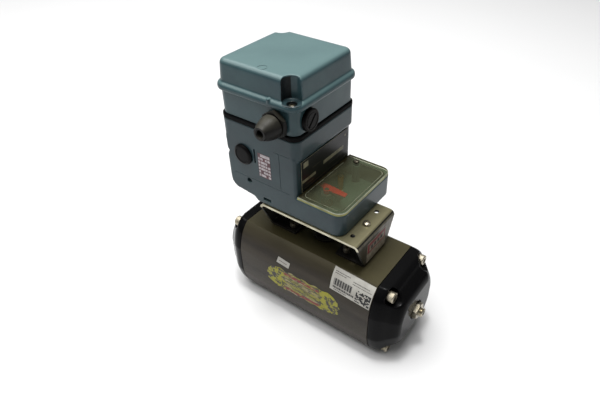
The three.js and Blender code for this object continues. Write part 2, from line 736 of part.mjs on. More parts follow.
// The cam's rise for each radian, so that the roller moves with the lever's turn.
function camRise() {
  const arm = ROLLER.clone().sub(LEVER_PIVOT);
  const sweep = new THREE.Vector2(-arm.y, arm.x);
  const radial = sweep.dot(ROLLER) / rollerReach;
  const around = (ROLLER.x * sweep.y - ROLLER.y * sweep.x) / rollerReach ** 2;
  return (radial * LEVER_RATIO) / (1 - around * LEVER_RATIO);
}

function feedbackCam() {
  const rise = camRise();
  const reach = 1.15; // radians of spiral each side of the roller
  const steps = 20;
  const points = [];
  for (let i = 0; i <= steps; i += 1) {
    const offset = -reach + (2 * reach * i) / steps;
    const radius = camContact - rise * offset;
    const angle = rollerAngle + offset;
    points.push(new THREE.Vector2(radius * Math.cos(angle), radius * Math.sin(angle)));
  }
  const shape = new THREE.Shape(points);
  const hub = new THREE.Shape();
  hub.absarc(0, 0, 7, rollerAngle, rollerAngle + 2 * Math.PI);
  const plate = prism(shape, CAM_Z, CAM_Z + 2).add(prism(hub, CAM_Z, CAM_Z + 5, 10));
  return cut(plate, rod(SHAFT_RADIUS + GAP, 0, 40, 16));
}

function leverArm() {
  const arm = ROLLER.clone().sub(LEVER_PIVOT);
  const length = arm.length();
  const bar = new THREE.Shape();
  bar.absarc(0, 0, 4, Math.PI / 2, 1.5 * Math.PI);
  bar.absarc(length, 0, 2.2, -Math.PI / 2, Math.PI / 2);
  const plate = cut(prism(bar, CAM_Z + 2 + GAP, CAM_Z + 3.8, 6), rod(2 + GAP, 0, 40, 12));
  const pin = rod(1.2, CAM_Z, CAM_Z + 3, 10, length, 0);
  const angle = (Math.atan2(arm.y, arm.x) * 180) / Math.PI;
  return moved(plate.add(pin).rotate([0, 0, angle]), LEVER_PIVOT.x, LEVER_PIVOT.y, 0);
}

const leverPost = () =>
  turned(
    [
      [0, WALL + GAP],
      [4, WALL + GAP],
      [4, CAM_Z + 2],
      [2, CAM_Z + 2],
      [2, CAM_Z + 5],
      [0, CAM_Z + 5],
    ],
    16,
  );

function pointer() {
  const shape = new THREE.Shape();
  shape.moveTo(-15.6, 9.4);
  shape.lineTo(-13.2, 2.4);
  shape.lineTo(-6.6, 0.4);
  shape.lineTo(9.7, -1.2);
  shape.lineTo(25.6, -0.4);
  shape.lineTo(24.4, 6.2);
  shape.lineTo(0.2, 8.6);
  const blade = prism(shape, POINTER_Z, POINTER_Z + 1.5);
  const hub = rod(4.2, POINTER_Z - 3, POINTER_Z + 1.5, 16);
  return cut(blade.add(hub), rod(SHAFT_RADIUS - 0.5 + GAP, 0, 60, 16));
}

function feedbackShaft() {
  const foot = PINION_TOP - CYL_HEIGHT - BRACKET_TOP + 6.8;
  return turned(
    [
      [0, foot],
      [SHAFT_RADIUS, foot],
      [SHAFT_RADIUS, POINTER_Z - 3.3],
      [SHAFT_RADIUS - 0.5, POINTER_Z - 3.3],
      [SHAFT_RADIUS - 0.5, POINTER_Z + 2],
      [0, POINTER_Z + 2],
    ],
    16,
  );
}

// ---- terminal box and cover ----
const TERMINAL = inset(BOX, BOX_INSET);
const COVER_SCREWS = [1, -1].map((side) => ({
  side,
  x: (BOX.west + BOX.east) / 2 + side * (NOTCH.x - (BOX.west + BOX.east) / 2),
  y: (BOX.south + BOX.north) / 2 + side * (NOTCH.y - (BOX.south + BOX.north) / 2),
}));

function terminalBox() {
  const low = GASKET_TOP + GAP;
  const shell = prism(roundedRectangle(TERMINAL), low, BOX_TOP);
  const room = prism(roundedRectangle(inset(TERMINAL, WALL)), low + 3, BOX_TOP + 1);
  const bosses = COVER_SCREWS.map(({ x, y }) => rod(4.6, low, BOX_TOP, 16, x, y));
  const holes = COVER_SCREWS.map(({ x, y }) => rod(2 + GAP, BOX_TOP - 14, BOX_TOP + 1, 12, x, y));
  const wireHole = rod(8, 90, low + 10, 20, -60, 45);
  const glandHole = moved(laid(rod(10.1, -8, 8, 20), ALONG_SOUTH), GLAND.x, BOX.south, GLAND.z);
  const plugHole = moved(laid(rod(8.6, -8, 8, 20), ALONG_X), BOX.east, PLUG.y, PLUG.z);
  return cut(joined(shell.subtract(room), ...bosses), ...holes, wireHole, glandHole, plugHole);
}

function boxGasket() {
  const ring = prism(roundedRectangle(BOX, GASKET_PROUD), COLLAR_TOP + GAP, GASKET_TOP);
  return ring.subtract(prism(roundedRectangle(inset(BOX, 6)), 0, 200));
}

function topCover() {
  const at = (z, out) => ({ z, points: outlinePoints(roundedRectangle(BOX, out), 3) });
  const wallTop = -COVER_BASE_IN - COVER_DRAFT;
  const outer = loft([
    at(BOX_TOP + GAP, RIM_OUT - 1),
    at(BOX_TOP + 1.5, RIM_OUT),
    at(RIM_TOP - 3, RIM_OUT - 0.4),
    at(RIM_TOP - 1, RIM_OUT - 1.6),
    at(RIM_TOP, -COVER_BASE_IN + 0.6),
    at(RIM_TOP + 1, -COVER_BASE_IN),
    at(COVER_TOP - 6, wallTop),
    at(COVER_TOP - 3, wallTop - 0.8),
    at(COVER_TOP - 1, wallTop - 2.8),
    at(COVER_TOP, wallTop - 6),
  ]);
  const lip = prism(roundedRectangle(BOX, -0.5), NOTCH.floor, RIM_TOP);
  const corners = COVER_SCREWS.map(({ side, x, y }) => {
    const cornerX = [x, x + side * 30].sort((a, b) => a - b);
    const cornerY = [y, y - side * 30].sort((a, b) => a - b);
    const open = block(...cornerX, ...cornerY, RIM_TOP, 200);
    return {
      well: rod(NOTCH.radius, RIM_TOP, 200, 20, x, y).add(open),
      pocket: rod(NOTCH.pocket, NOTCH.floor, 200, 20, x, y).intersect(lip),
      sleeve: rod(NOTCH.radius + 3, 100, 200, 20, x, y).add(
        block(cornerX[0] - 3, cornerX[1] + 3, cornerY[0] - 3, cornerY[1] + 3, 100, 200),
      ),
      hole: rod(2 + GAP, 100, 200, 12, x, y),
    };
  });
  const inner = loft([
    at(BOX_TOP - 1, -5.2),
    at(RIM_TOP, -5.2),
    at(COVER_TOP - 8, wallTop - 3.2),
    at(COVER_TOP - 3.5, wallTop - 6),
  ]);
  const room = cut(inner, ...corners.map(({ sleeve }) => sleeve));
  const wells = corners.flatMap(({ well, pocket, hole }) => [well, pocket, hole]);
  return cut(outer, room, ...wells);
}

// ---- gland and plugs, built with Z outwards ----
function glandBody() {
  const hex = prism(hexagon(28), 2.4, 8.2);
  const washer = rod(11, GAP, 3, 24);
  const thread = rod(9.7, -6, 1, 20);
  const neck = rod(9, 6, 15, 20);
  return cut(joined(hex, washer, thread, neck), rod(6, -10, 20, 20));
}

function glandNut() {
  const dome = turned(
    [
      [0, 8.5],
      [12.9, 8.5],
      [12.9, 14.2],
      [10.8, 21.2],
      [8.2, 25.7],
      [7.3, 28.7],
      [0, 28.7],
    ],
    18,
  );
  const bore = turned([[0, 6], [9.3, 6], [9.3, 20.5], [4.2, 22], [4.2, 32], [0, 32]], 20);
  return cut(dome.intersect(prism(hexagon(24.6), 0, 40)), bore);
}

const glandSeal = () => ringOf(4.2, 5.7, 4, 20, 16);

function slottedPlug() {
  const body = turned(
    [
      [0, -6],
      [8.3, -6],
      [8.3, GAP],
      [PLUG.radius, GAP],
      [PLUG.radius, 4],
      [PLUG.radius - 1, 5],
      [0, 5],
    ],
    16,
  );
  return cut(body, block(-10, 10, -1.2, 1.2, 3, 7).rotate([0, 0, 45]));
}

const sidePlug = () =>
  turned([[0, -7], [9.2, -7], [9.2, GAP], [12.8, GAP], [12.8, 2.2], [10.5, 3.6], [0, 4.2]], 16);

function terminalBlock() {
  const rail = block(-96, -34, 4, 24, GASKET_TOP + 3.9, GASKET_TOP + 13);
  const posts = [];
  for (let i = 0; i < 6; i += 1) {
    posts.push(block(-94 + i * 10, -86 + i * 10, 8, 20, GASKET_TOP + 12, GASKET_TOP + 17));
  }
  return joined(rail, ...posts);
}

function addPositioner(root) {
  const group = new THREE.Group();
  group.position.set(0, PINION_Y, CYL_HEIGHT + BRACKET_TOP);
  add(group, "positioner_housing", housing(), tealPaint);
  add(group, "window_cover", windowCover(), clearPlastic);
  add(group, "window_screw", panScrew(2, 7, 20), steel, ...WINDOW_SCREW, WINDOW_TOP + GAP);
  const { south: plateSouth, north: plateNorth, bottom, top } = NAMEPLATE;
  const plate = block(COLUMN.east + GAP, COLUMN.east + 1.2, plateSouth, plateNorth, bottom, top);
  add(group, "nameplate", plate, blackPlastic);
  add(group, "shaft_bush", ringOf(SHAFT_RADIUS + GAP, 7.1, 0.6, 7.5, 20), bronze);
  add(group, "feedback_shaft", feedbackShaft(), steel);
  add(group, "feedback_cam", feedbackCam(), castAluminium);
  add(group, "pointer", pointer(), redPlastic);
  add(group, "lever_post", leverPost(), steel, LEVER_PIVOT.x, LEVER_PIVOT.y);
  add(group, "follower_lever", leverArm(), brass);
  const roller = ringOf(1.2 + GAP, ROLLER_RADIUS, CAM_Z + 0.1, CAM_Z + 2, 16);
  add(group, "cam_roller", roller, whitePlastic, ROLLER.x, ROLLER.y);
  const moduleBox = block(-105.3, -67.6, -20, 34, 36, 84);
  add(group, "current_converter", moduleBox, castAluminium);
  add(group, "pilot_relay", block(-67.3, -18.9, -16, 30, 40, 76), greenPlastic);
  add(group, "box_gasket", boxGasket(), blackRubber);
  add(group, "terminal_box", terminalBox(), tealPaint);
  add(group, "terminal_block", terminalBlock(), greyPlastic);
  add(group, "top_cover", topCover(), tealPaint);
  const screw = panScrew(2, 16, 40);
  COVER_SCREWS.forEach(({ x, y }, i) => {
    add(group, ["cover_screw_front", "cover_screw_back"][i], screw, steel, x, y, NOTCH.floor + GAP);
  });
  const south = (name, made, material, x, z, face) =>
    add(group, name, laid(made, ALONG_SOUTH), material, x, face, z);
  south("gland_body", glandBody(), greyPlastic, GLAND.x, GLAND.z, TERMINAL.south);
  south("gland_nut", glandNut(), greyPlastic, GLAND.x, GLAND.z, TERMINAL.south);
  south("gland_seal", glandSeal(), blackRubber, GLAND.x, GLAND.z, TERMINAL.south);
  south("side_plug", sidePlug(), blackPlastic, SIDE_PLUG.x, SIDE_PLUG.z, COLUMN.south);
  const plug = laid(slottedPlug(), ALONG_X);
  add(group, "blanking_plug", plug, blackPlastic, TERMINAL.east, PLUG.y, PLUG.z);
  root.add(group);
}

const actuatorAssembly = new THREE.Group();
addActuator(actuatorAssembly);
addBracket(actuatorAssembly);
addPositioner(actuatorAssembly);

export default actuatorAssembly;
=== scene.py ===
"""Looks of a quarter-turn pneumatic actuator with a valve positioner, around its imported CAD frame.

Shapes are built in millimetres and scaled once, when a piece is made. The main places come from the
CAD boxes. Heights of the positioner are over the bracket's plate, and its Y is from the pinion axis."""

import json
import math

import bmesh
import bpy
from mathutils import Matrix, Vector


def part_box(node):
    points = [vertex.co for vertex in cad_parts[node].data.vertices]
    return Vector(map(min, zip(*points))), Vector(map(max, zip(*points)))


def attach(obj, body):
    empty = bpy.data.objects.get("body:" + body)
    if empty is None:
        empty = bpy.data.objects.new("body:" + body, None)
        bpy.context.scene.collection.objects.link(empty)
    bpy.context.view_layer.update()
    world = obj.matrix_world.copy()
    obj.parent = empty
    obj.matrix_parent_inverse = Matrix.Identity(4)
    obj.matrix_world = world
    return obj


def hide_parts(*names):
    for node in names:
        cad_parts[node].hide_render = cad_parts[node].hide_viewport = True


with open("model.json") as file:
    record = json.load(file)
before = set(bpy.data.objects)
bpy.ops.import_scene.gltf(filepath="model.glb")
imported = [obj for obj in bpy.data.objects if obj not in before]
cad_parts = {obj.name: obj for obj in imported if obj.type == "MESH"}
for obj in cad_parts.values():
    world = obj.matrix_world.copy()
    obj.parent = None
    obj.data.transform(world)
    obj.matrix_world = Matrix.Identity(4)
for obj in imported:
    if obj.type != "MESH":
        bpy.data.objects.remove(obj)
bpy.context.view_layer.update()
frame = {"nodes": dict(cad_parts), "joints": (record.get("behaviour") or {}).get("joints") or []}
MM = 0.001

# ---- driving sizes, millimetres and degrees ----
CAMERA_AT = (264.8, -384.7, 528.4)
YAW, PITCH, ROLL = 124.7, 39.93, 0.19
FOCAL_LENGTH, LENS_SHIFT = 29.99, (-0.0472, 0.025)
BORE = 43
AIR_PORT = {"radius": 5.5, "depth": 16, "x": 12}
SOLENOID_SCREW = {"radius": 2.5, "depth": 7, "x": 16, "z": 12}
SOCKET = {"radius": 18, "depth": 13}
FLANGE_SCREW = {"radius": 4, "depth": 12, "off": 24.75}
CAP_SEAT, POCKET = 12.4, 10.4
RECESS_SEAT, RECESS = 28.6, 12.5
BOLT_Y, BOLT_Z = 35.9, 45.2
STOP_THREAD = 6
SHEET = 3
STRIP_HOLE = {"radius": 2.9, "x": 53.4, "y": 26}
LABEL_LIFT = 0.12


def box(node):
    """Lowest and highest corner of a CAD node, in millimetres."""
    low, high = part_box(node)
    return low / MM, high / MM


def middle(node):
    """Centre of a CAD node's box, in millimetres."""
    low, high = box(node)
    return (low + high) / 2


def move_by(x, y, z):
    return Matrix.Translation((x, y, z))


def turn_by(degrees, axis="Z"):
    return Matrix.Rotation(math.radians(degrees), 4, axis)


body_low, body_high = box("cylinder_body")
bracket_low, bracket_high = box("mounting_bracket")
AXIS_Y = frame["joints"][0]["pos_m"][1] / MM
AXIS_Z = (body_low.z + body_high.z) / 2
PLATE = bracket_high.z
ON_PLATE = move_by(0, AXIS_Y, PLATE)
LAID_EAST = Matrix(((0, 0, 1, 0), (1, 0, 0, 0), (0, 1, 0, 0), (0, 0, 0, 1)))
LAID_SOUTH = Matrix(((1, 0, 0, 0), (0, 0, -1, 0), (0, 1, 0, 0), (0, 0, 0, 1)))
LAID_NORTH = turn_by(90, "X") @ Matrix.Scale(-1, 4, (0, 0, 1))


# ---- mesh kit ----
def skin(rings):
    """A closed mesh through equal rings. A ring of one point is a tip, and an end ring gets a face."""
    bm = bmesh.new()
    rows = [[bm.verts.new(p) for p in ring] for ring in rings]
    for a, b in zip(rows, rows[1:]):
        count = max(len(a), len(b))
        for i in range(count):
            j = (i + 1) % count
            if len(a) == 1:
                bm.faces.new((a[0], b[j], b[i]))
            elif len(b) == 1:
                bm.faces.new((a[i], a[j], b[0]))
            else:
                bm.faces.new((a[i], a[j], b[j], b[i]))
    for row in (rows[0], rows[-1]):
        if len(row) > 2:
            bm.faces.new(row)
    bmesh.ops.recalc_face_normals(bm, faces=bm.faces)
    return bm


def lathe(profile, segments=48, ripple=0.0):
    """A solid turned about Z from (radius, height) pairs. Ripple knurls every other segment."""
    angles = [2 * math.pi * i / segments for i in range(segments)]
    rings = []
    for radius, height in profile:
        radii = [radius, radius - ripple] * (segments // 2)
        ring = [(r * math.cos(a), r * math.sin(a), height) for r, a in zip(radii, angles)]
        rings.append(ring if radius else [(0, 0, height)])
    return skin(rings)


def stacked(levels):
    """A solid through (height, outline) levels from the lowest up."""
    return skin([[(x, y, z) for x, y in outline] for z, outline in levels])


def prism(outline, z0, z1):
    return stacked([(z0, outline), (z1, outline)])


def block(x0, x1, y0, y1, z0, z1):
    return prism([(x0, y0), (x1, y0), (x1, y1), (x0, y1)], z0, z1)


def rod(radius, z0, z1, x=0, y=0):
    bar = lathe([(0, z0), (radius, z0), (radius, z1), (0, z1)])
    return placed(bar, move_by(x, y, 0))


def placed(bm, matrix):
    bmesh.ops.transform(bm, matrix=matrix, verts=bm.verts)
    return bm


def arc(cx, cy, radius, start, end, steps=10):
    """Points on an arc, from one angle to another in degrees."""
    angles = [math.radians(start + (end - start) * i / steps) for i in range(steps + 1)]
    return [(cx + radius * math.cos(a), cy + radius * math.sin(a)) for a in angles]


def rounded_rectangle(low, high, corner, out=0.0):
    """Outline points of a rounded rectangle, grown by out."""
    x0, x1, y0, y1 = low[0] - out, high[0] + out, low[1] - out, high[1] + out
    r = max(corner + out, 0.5)
    centres = [(x1 - r, y1 - r), (x0 + r, y1 - r), (x0 + r, y0 + r), (x1 - r, y0 + r)]
    points = []
    for quarter, (cx, cy) in enumerate(centres):
        points += arc(cx, cy, r, 90 * quarter, 90 * (quarter + 1))
    return points


def hexagon(across_flats, turn=0.0):
    radius = across_flats / math.sqrt(3)
    angles = [math.radians(60 * i + turn) for i in range(6)]
    return [(radius * math.cos(a), radius * math.sin(a)) for a in angles]


def filled(name, bm):
    """A new mesh, which uses the bmesh up."""
    mesh = bpy.data.meshes.new(name)
    bm.to_mesh(mesh)
    bm.free()
    return mesh


def linked(name, data):
    """A new object in the scene."""
    obj = bpy.data.objects.new(name, data)
    bpy.context.scene.collection.objects.link(obj)
    return obj


def temporary(bm):
    return linked("temporary", filled("temporary", bm))


def evaluated(obj, others=()):
    """The object's mesh with its modifiers applied. The object and the others are then removed."""
    depsgraph = bpy.context.evaluated_depsgraph_get()
    mesh = bpy.data.meshes.new_from_object(obj.evaluated_get(depsgraph))
    bm = bmesh.new()
    bm.from_mesh(mesh)
    bpy.data.meshes.remove(mesh)
    for used in (obj, *others):
        data = used.data
        bpy.data.objects.remove(used)
        bpy.data.meshes.remove(data)
    return bm


def carved(bm, tools, operation="DIFFERENCE"):
    """The mesh with the tools cut from it, joined to it or crossed with it. All are used up."""
    target = temporary(bm)
    cutters = [temporary(tool) for tool in tools]
    for cutter in cutters:
        step = target.modifiers.new("carve", "BOOLEAN")
        step.operation = operation
        step.solver = "EXACT"
        step.object = cutter
    return evaluated(target, cutters)


def cast(bm, voxel, passes):
    """Rounds every edge a little, as on a casting."""
    target = temporary(bm)
    remesh = target.modifiers.new("remesh", "REMESH")
    remesh.mode = "VOXEL"
    remesh.voxel_size = voxel
    smooth = target.modifiers.new("smooth", "SMOOTH")
    smooth.factor = 0.5
    smooth.iterations = passes
    return evaluated(target)


def zoned(bm, zone):
    """Gives each face the material number that zone(face, its centre) says."""
    bm.normal_update()
    for face in bm.faces:
        face.material_index = zone(face, face.calc_center_median())
    return bm


def piece(name, bm, material, slot, body="housing", stands_for=(), matrix=None, bevel=0.0, sharp=32,
          worn_edges=False):
    """One visible piece, from a mesh in millimetres, riding on a CAD body."""
    if matrix is not None:
        placed(bm, matrix)
    placed(bm, Matrix.Scale(MM, 4))
    mesh = filled(name, bm)
    materials = material if isinstance(material, (list, tuple)) else [material]
    for one in materials:
        mesh.materials.append(one)
    mesh.polygons.foreach_set("use_smooth", [True] * len(mesh.polygons))
    mesh.set_sharp_from_angle(angle=math.radians(sharp))
    obj = linked(name, mesh)
    if bevel:
        edge = obj.modifiers.new("edges", "BEVEL")
        edge.width = bevel * MM
        edge.segments = 3
        edge.limit_method = "ANGLE"
        edge.angle_limit = math.radians(sharp)
        edge.harden_normals = True
        edge.use_clamp_overlap = True
        # the bevel's faces take the last material, as a painted edge highlight
        if worn_edges:
            edge.material = len(materials) - 1
    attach(obj, body)
    if stands_for:
        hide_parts(*stands_for)
    return obj


def stand_in(node, bm, material, slot, **options):
    """The piece that takes one CAD node's place and its name."""
    return piece(f"{node}_look", bm, material, slot, stands_for=(node,), **options)


def traced(node, material, slot, body="housing", bevel=0.3):
    """A CAD node's shape, welded and with broken edges."""
    bm = bmesh.new()
    bm.from_mesh(frame["nodes"][node].data)
    bmesh.ops.remove_doubles(bm, verts=bm.verts, dist=1e-6)
    limit = math.radians(1)
    bmesh.ops.dissolve_limit(bm, angle_limit=limit, verts=bm.verts, edges=bm.edges)
    placed(bm, Matrix.Scale(1 / MM, 4))
    return stand_in(node, bm, material, slot, body=body, bevel=bevel)


# ---- materials ----
class Graph:
    """A short way to write one material's nodes."""

    def __init__(self, name):
        self.material = bpy.data.materials.new(name)
        self.material.use_nodes = True
        self.tree = self.material.node_tree
        self.shader = self.tree.nodes["Principled BSDF"]
        self.place = self.node("ShaderNodeTexCoord").outputs["Object"]

    def node(self, kind, **sockets):
        made = self.tree.nodes.new(kind)
        for name, value in sockets.items():
            self.put(made.inputs[name], value)
        return made

    def put(self, socket, value):
        if isinstance(value, bpy.types.NodeSocket):
            self.tree.links.new(value, socket)
        else:
            socket.default_value = value

    def surface(self, **sockets):
        """Sets or links sockets of the shader, with _ for a space in their names."""
        for name, value in sockets.items():
            self.put(self.shader.inputs[name.replace("_", " ")], value)

    def noise(self, scale, detail=4.0, stretch=None, roughness=0.5):
        place = self.place
        if stretch:
            place = self.node("ShaderNodeMapping", Vector=place, Scale=stretch).outputs[0]
        sockets = {"Vector": place, "Scale": scale, "Detail": detail, "Roughness": roughness}
        return self.node("ShaderNodeTexNoise", **sockets).outputs["Fac"]

    def spread(self, value, low, high, to_low=0.0, to_high=1.0):
        limits = {"From Min": low, "From Max": high, "To Min": to_low, "To Max": to_high}
        return self.node("ShaderNodeMapRange", Value=value, **limits).outputs[0]

    def maths(self, operation, a, b):
        made = self.node("ShaderNodeMath")
        made.operation = operation
        self.put(made.inputs[0], a)
        self.put(made.inputs[1], b)
        return made.outputs[0]

    def mix(self, factor, a, b):
        made = self.node("ShaderNodeMix")
        made.data_type = "RGBA"
        self.put(made.inputs["Factor"], factor)
        for socket, colour in ((made.inputs[6], a), (made.inputs[7], b)):
            self.put(socket, colour if not isinstance(colour, tuple) else (*colour, 1))
        return made.outputs[2]

    def bump(self, height, distance):
        made = self.node("ShaderNodeBump", Height=height, Distance=distance, Strength=1.0)
        self.surface(Normal=made.outputs[0])

    def upward(self):
        """1 on faces that look up, 0 on the sides."""
        normal = self.node("ShaderNodeNewGeometry").outputs["Normal"]
        split = self.node("ShaderNodeSeparateXYZ", Vector=normal)
        return self.spread(split.outputs["Z"], 0.35, 0.95)


def shade(hex_colour):
    """Linear RGB of an sRGB colour written as #rrggbb."""
    parts = [int(hex_colour[i : i + 2], 16) / 255 for i in (1, 3, 5)]
    return tuple(c / 12.92 if c <= 0.04045 else ((c + 0.055) / 1.055) ** 2.4 for c in parts)


def finish(
    name, colour, second, rough, metal=0.0, blotch=30, grain=900, relief=0.00004, coat=0.0,
    dust_and_top_light=None, dust_and_top_light_share=0.9, wear=None, wear_from=0.6, stretch=None, gloss=0.5,
):
    """One procedural finish: two shades in blotches, worn or dirty specks, dust and painted top light,
    fine grain.
    """
    g = Graph(name)
    clouds = g.noise(blotch, 6.0, stretch)
    colours = g.mix(g.spread(clouds, 0.35, 0.65), shade(colour), shade(second))
    if wear:
        specks = g.noise(blotch * 9, 5.0, stretch, 0.65)
        colours = g.mix(g.spread(specks, wear_from, wear_from + 0.06), colours, shade(wear))
    if dust_and_top_light:
        # upward faces are made lighter: partly dust, partly painted top light
        share = g.maths("MULTIPLY", g.upward(), g.spread(g.noise(18, 5.0), 0.2, 0.6, 0.75, 1.0))
        colours = g.mix(g.maths("MULTIPLY", share, dust_and_top_light_share), colours, shade(dust_and_top_light))
    fine = g.noise(grain, 3.0, stretch)
    roughness = g.spread(fine, 0.3, 0.7, rough * 0.85, rough * 1.2)
    g.surface(Base_Color=colours, Roughness=roughness, Metallic=metal, Specular_IOR_Level=gloss,
              Coat_Weight=coat, Coat_Roughness=0.08)
    g.bump(g.maths("ADD", fine, g.maths("MULTIPLY", clouds, 1.5)), relief)
    return g.material


teal = finish("teal_paint", "#324a4e", "#2b4147", 0.4, grain=1400, relief=0.00003, gloss=0.2,
              coat=0.3, dust_and_top_light="#5f7878", wear="#26343a", wear_from=0.675)
# a darker copy of the teal paint, as painted shade on the lower housing
teal_paint_shaded = finish("teal_paint_shaded", "#273b40", "#213238", 0.4, grain=1400, gloss=0.2, coat=0.25,
                      dust_and_top_light="#566d6e", wear="#1d292d", wear_from=0.675)
# painted shade in the cover's screw wells: very dark teal on walls and pockets, mid teal on floors
well_painted_shade = finish("well_painted_shade", "#161d1f", "#0e1314", 0.5, blotch=160, gloss=0.2, dust_and_top_light="#2c3c3e",
                      dust_and_top_light_share=0.6, wear="#22302f")
well_floor_painted_shade = finish("well_floor_painted_shade", "#2b3f43", "#1d2a2d", 0.4, blotch=120, gloss=0.2, coat=0.3,
                      wear="#141c1e")
olive = finish("hard_anodising", "#3a342b", "#2b261f", 0.48, metal=0.3, blotch=70, grain=2200,
               relief=0.00001, stretch=(0.16, 1, 1), dust_and_top_light="#413c22", wear="#5b5545", wear_from=0.69,
               gloss=0.35)
enamel = finish("black_enamel", "#060607", "#040405", 0.16, blotch=40, grain=700, gloss=0.055,
                dust_and_top_light="#1c1c1c", dust_and_top_light_share=0.4, wear="#4a4b4e", wear_from=0.74)
bright_steel = finish("bright_steel", "#b9b2a0", "#938b78", 0.28, metal=0.95, blotch=90, grain=1800,
                      relief=0.00001, wear="#55482f", wear_from=0.66)
dull_steel = finish("dull_steel", "#7a7465", "#4c473b", 0.3, metal=0.9, blotch=160, relief=0.00001,
                    wear="#2a2419")
dark_steel = finish("dark_steel", "#3a3a3c", "#2a2a2c", 0.4, metal=0.9, blotch=70)
sheet_steel = finish("sheet_steel", "#57534a", "#433f35", 0.36, metal=0.75, grain=1500, relief=0.00001,
                     stretch=(1, 6, 1), dust_and_top_light="#96906f", dust_and_top_light_share=0.8, wear="#3f3a2b",
                     wear_from=0.68)
# painted shade for the faces inside and under the bracket
sheet_painted_shade = finish("sheet_painted_shade", "#1d1b17", "#141310", 0.5, metal=0.4, blotch=60,
                      wear="#2f2c24")
# a painted highlight for the bracket strip's cut edges
sheet_edge_painted_highlight = finish("sheet_edge_painted_highlight", "#cdc8b2", "#aaa58f", 0.35, metal=0.6, blotch=80, relief=0.00001)
aluminium = finish("cast_aluminium", "#8c8e90", "#75777a", 0.5, metal=0.85, blotch=60)
rubber = finish("black_rubber", "#08080a", "#050506", 0.7, blotch=60, relief=0.00006, gloss=0.08)
black_plastic = finish("black_plastic", "#0b0a0a", "#070606", 0.4, blotch=60, grain=1600,
                       wear="#1c1a19", wear_from=0.7, gloss=0.08)
grey_plastic = finish("grey_plastic", "#151412", "#0d0c0b", 0.45, blotch=90, grain=1500, gloss=0.2,
                      relief=0.00005, dust_and_top_light="#434138", dust_and_top_light_share=0.8, wear="#34322c", wear_from=0.64)
gland_plastic = finish("gland_plastic", "#0f0e0c", "#0a0908", 0.45, blotch=90, grain=1500, gloss=0.15,
                       dust_and_top_light="#2c2b24", dust_and_top_light_share=0.7, wear="#27251f", wear_from=0.66)
red_plastic = finish("red_plastic", "#e00a06", "#b80a06", 0.35, blotch=60)
brass = finish("brass", "#9b7a3c", "#7a5e2c", 0.35, metal=0.9, blotch=80)
bronze = finish("bronze", "#6a5032", "#503c26", 0.45, metal=0.8, blotch=80)
white_plastic = finish("white_plastic", "#a9a59a", "#8f8b80", 0.5, blotch=80)
green_plastic = finish("green_plastic", "#3f6f4a", "#33593c", 0.5, blotch=80)
paper = finish("label_paper", "#b5b3ab", "#a3a098", 0.6, blotch=90, grain=1200)
print_black = finish("label_print", "#1b1b1d", "#2b2a2a", 0.6, blotch=500)
cream = finish("plate_cream", "#8c886d", "#6a664e", 0.5, blotch=160, wear="#2c2a22")
plate_faint = finish("plate_faint", "#3d3828", "#24211a", 0.5, blotch=200, wear="#16140f",
                     wear_from=0.55)
plate_black = finish("plate_black", "#100e10", "#0b0a0b", 0.35, blotch=70, gloss=0.25,
                     wear="#3c393d", wear_from=0.72)
label_red = finish("label_red", "#7c2428", "#5e1b1f", 0.5, blotch=260)
label_plum = finish("label_plum", "#5c3138", "#45262d", 0.5, blotch=260)
label_tan = finish("label_tan", "#8d8575", "#6b6354", 0.5, blotch=200)
label_pale = finish("label_pale", "#bdb6b8", "#a0989b", 0.5, blotch=300)
groove_pale = finish("window_groove", "#8f927e", "#757864", 0.35, blotch=120)
edge_yellow = finish("window_edge", "#97944f", "#75723d", 0.3, blotch=120)


def window_material():
    """Clear plastic gone yellow and scuffed: mostly see-through, partly milky."""
    g = Graph("clear_window")
    clouds = g.noise(28, 5.0)
    milk = g.mix(g.spread(clouds, 0.35, 0.7), shade("#85856a"), shade("#6a705c"))
    split = g.node("ShaderNodeSeparateXYZ", Vector=g.place)
    # the west end, next to the column, is darker and less clear: painted shade
    ragged = g.maths("ADD", split.outputs["X"], g.maths("MULTIPLY", g.noise(90, 5.0), 0.012))
    west_painted_shade = g.spread(ragged, -0.006, 0.004, 1.0, 0.0)
    fine = g.noise(1200, 3.0)
    g.surface(Base_Color=g.mix(west_painted_shade, milk, shade("#2b2618")),
              Roughness=g.spread(fine, 0.3, 0.7, 0.12, 0.22))
    g.bump(fine, 0.00001)
    clear = g.node("ShaderNodeBsdfTransparent", Color=(0.9, 0.91, 0.8, 1))
    mixed = g.node("ShaderNodeMixShader")
    cover = g.spread(clouds, 0.3, 0.75, 0.1, 0.3)
    g.put(mixed.inputs[0], g.maths("MAXIMUM", cover, g.maths("MULTIPLY", west_painted_shade, 0.75)))
    g.put(mixed.inputs[1], clear.outputs[0])
    g.put(mixed.inputs[2], g.shader.outputs[0])
    output = g.tree.nodes["Material Output"]
    g.tree.links.new(mixed.outputs[0], output.inputs["Surface"])
    return g.material


window_clear = window_material()


# ---- cylinder and end caps ----
HALF_WIDTH = (body_high.y - body_low.y) / 2
HALF_HEIGHT = AXIS_Z - body_low.z
# half the flat top, half the flat side and the control point of the curve between them
FLAT, SIDE, BOW = 39, 19, (52.5, 46.5)


def section(inset_y=0.0, inset_z=0.0, steps=10):
    """The cylinder's outline, Y across and Z up about the bore's axis."""
    ky, kz = 1 - inset_y / HALF_WIDTH, 1 - inset_z / HALF_HEIGHT
    points = []
    for sy, sz, rising in ((1, 1, True), (-1, 1, False), (-1, -1, True), (1, -1, False)):
        start, end = (HALF_WIDTH, SIDE), (FLAT, HALF_HEIGHT)
        if not rising:
            start, end = end, start
        for i in range(steps + 1):
            t = i / steps
            y = (1 - t) ** 2 * start[0] + 2 * t * (1 - t) * BOW[0] + t * t * end[0]
            z = (1 - t) ** 2 * start[1] + 2 * t * (1 - t) * BOW[1] + t * t * end[1]
            points.append((sy * y * ky, sz * z * kz))
    return points


def both(size):
    return -size, size


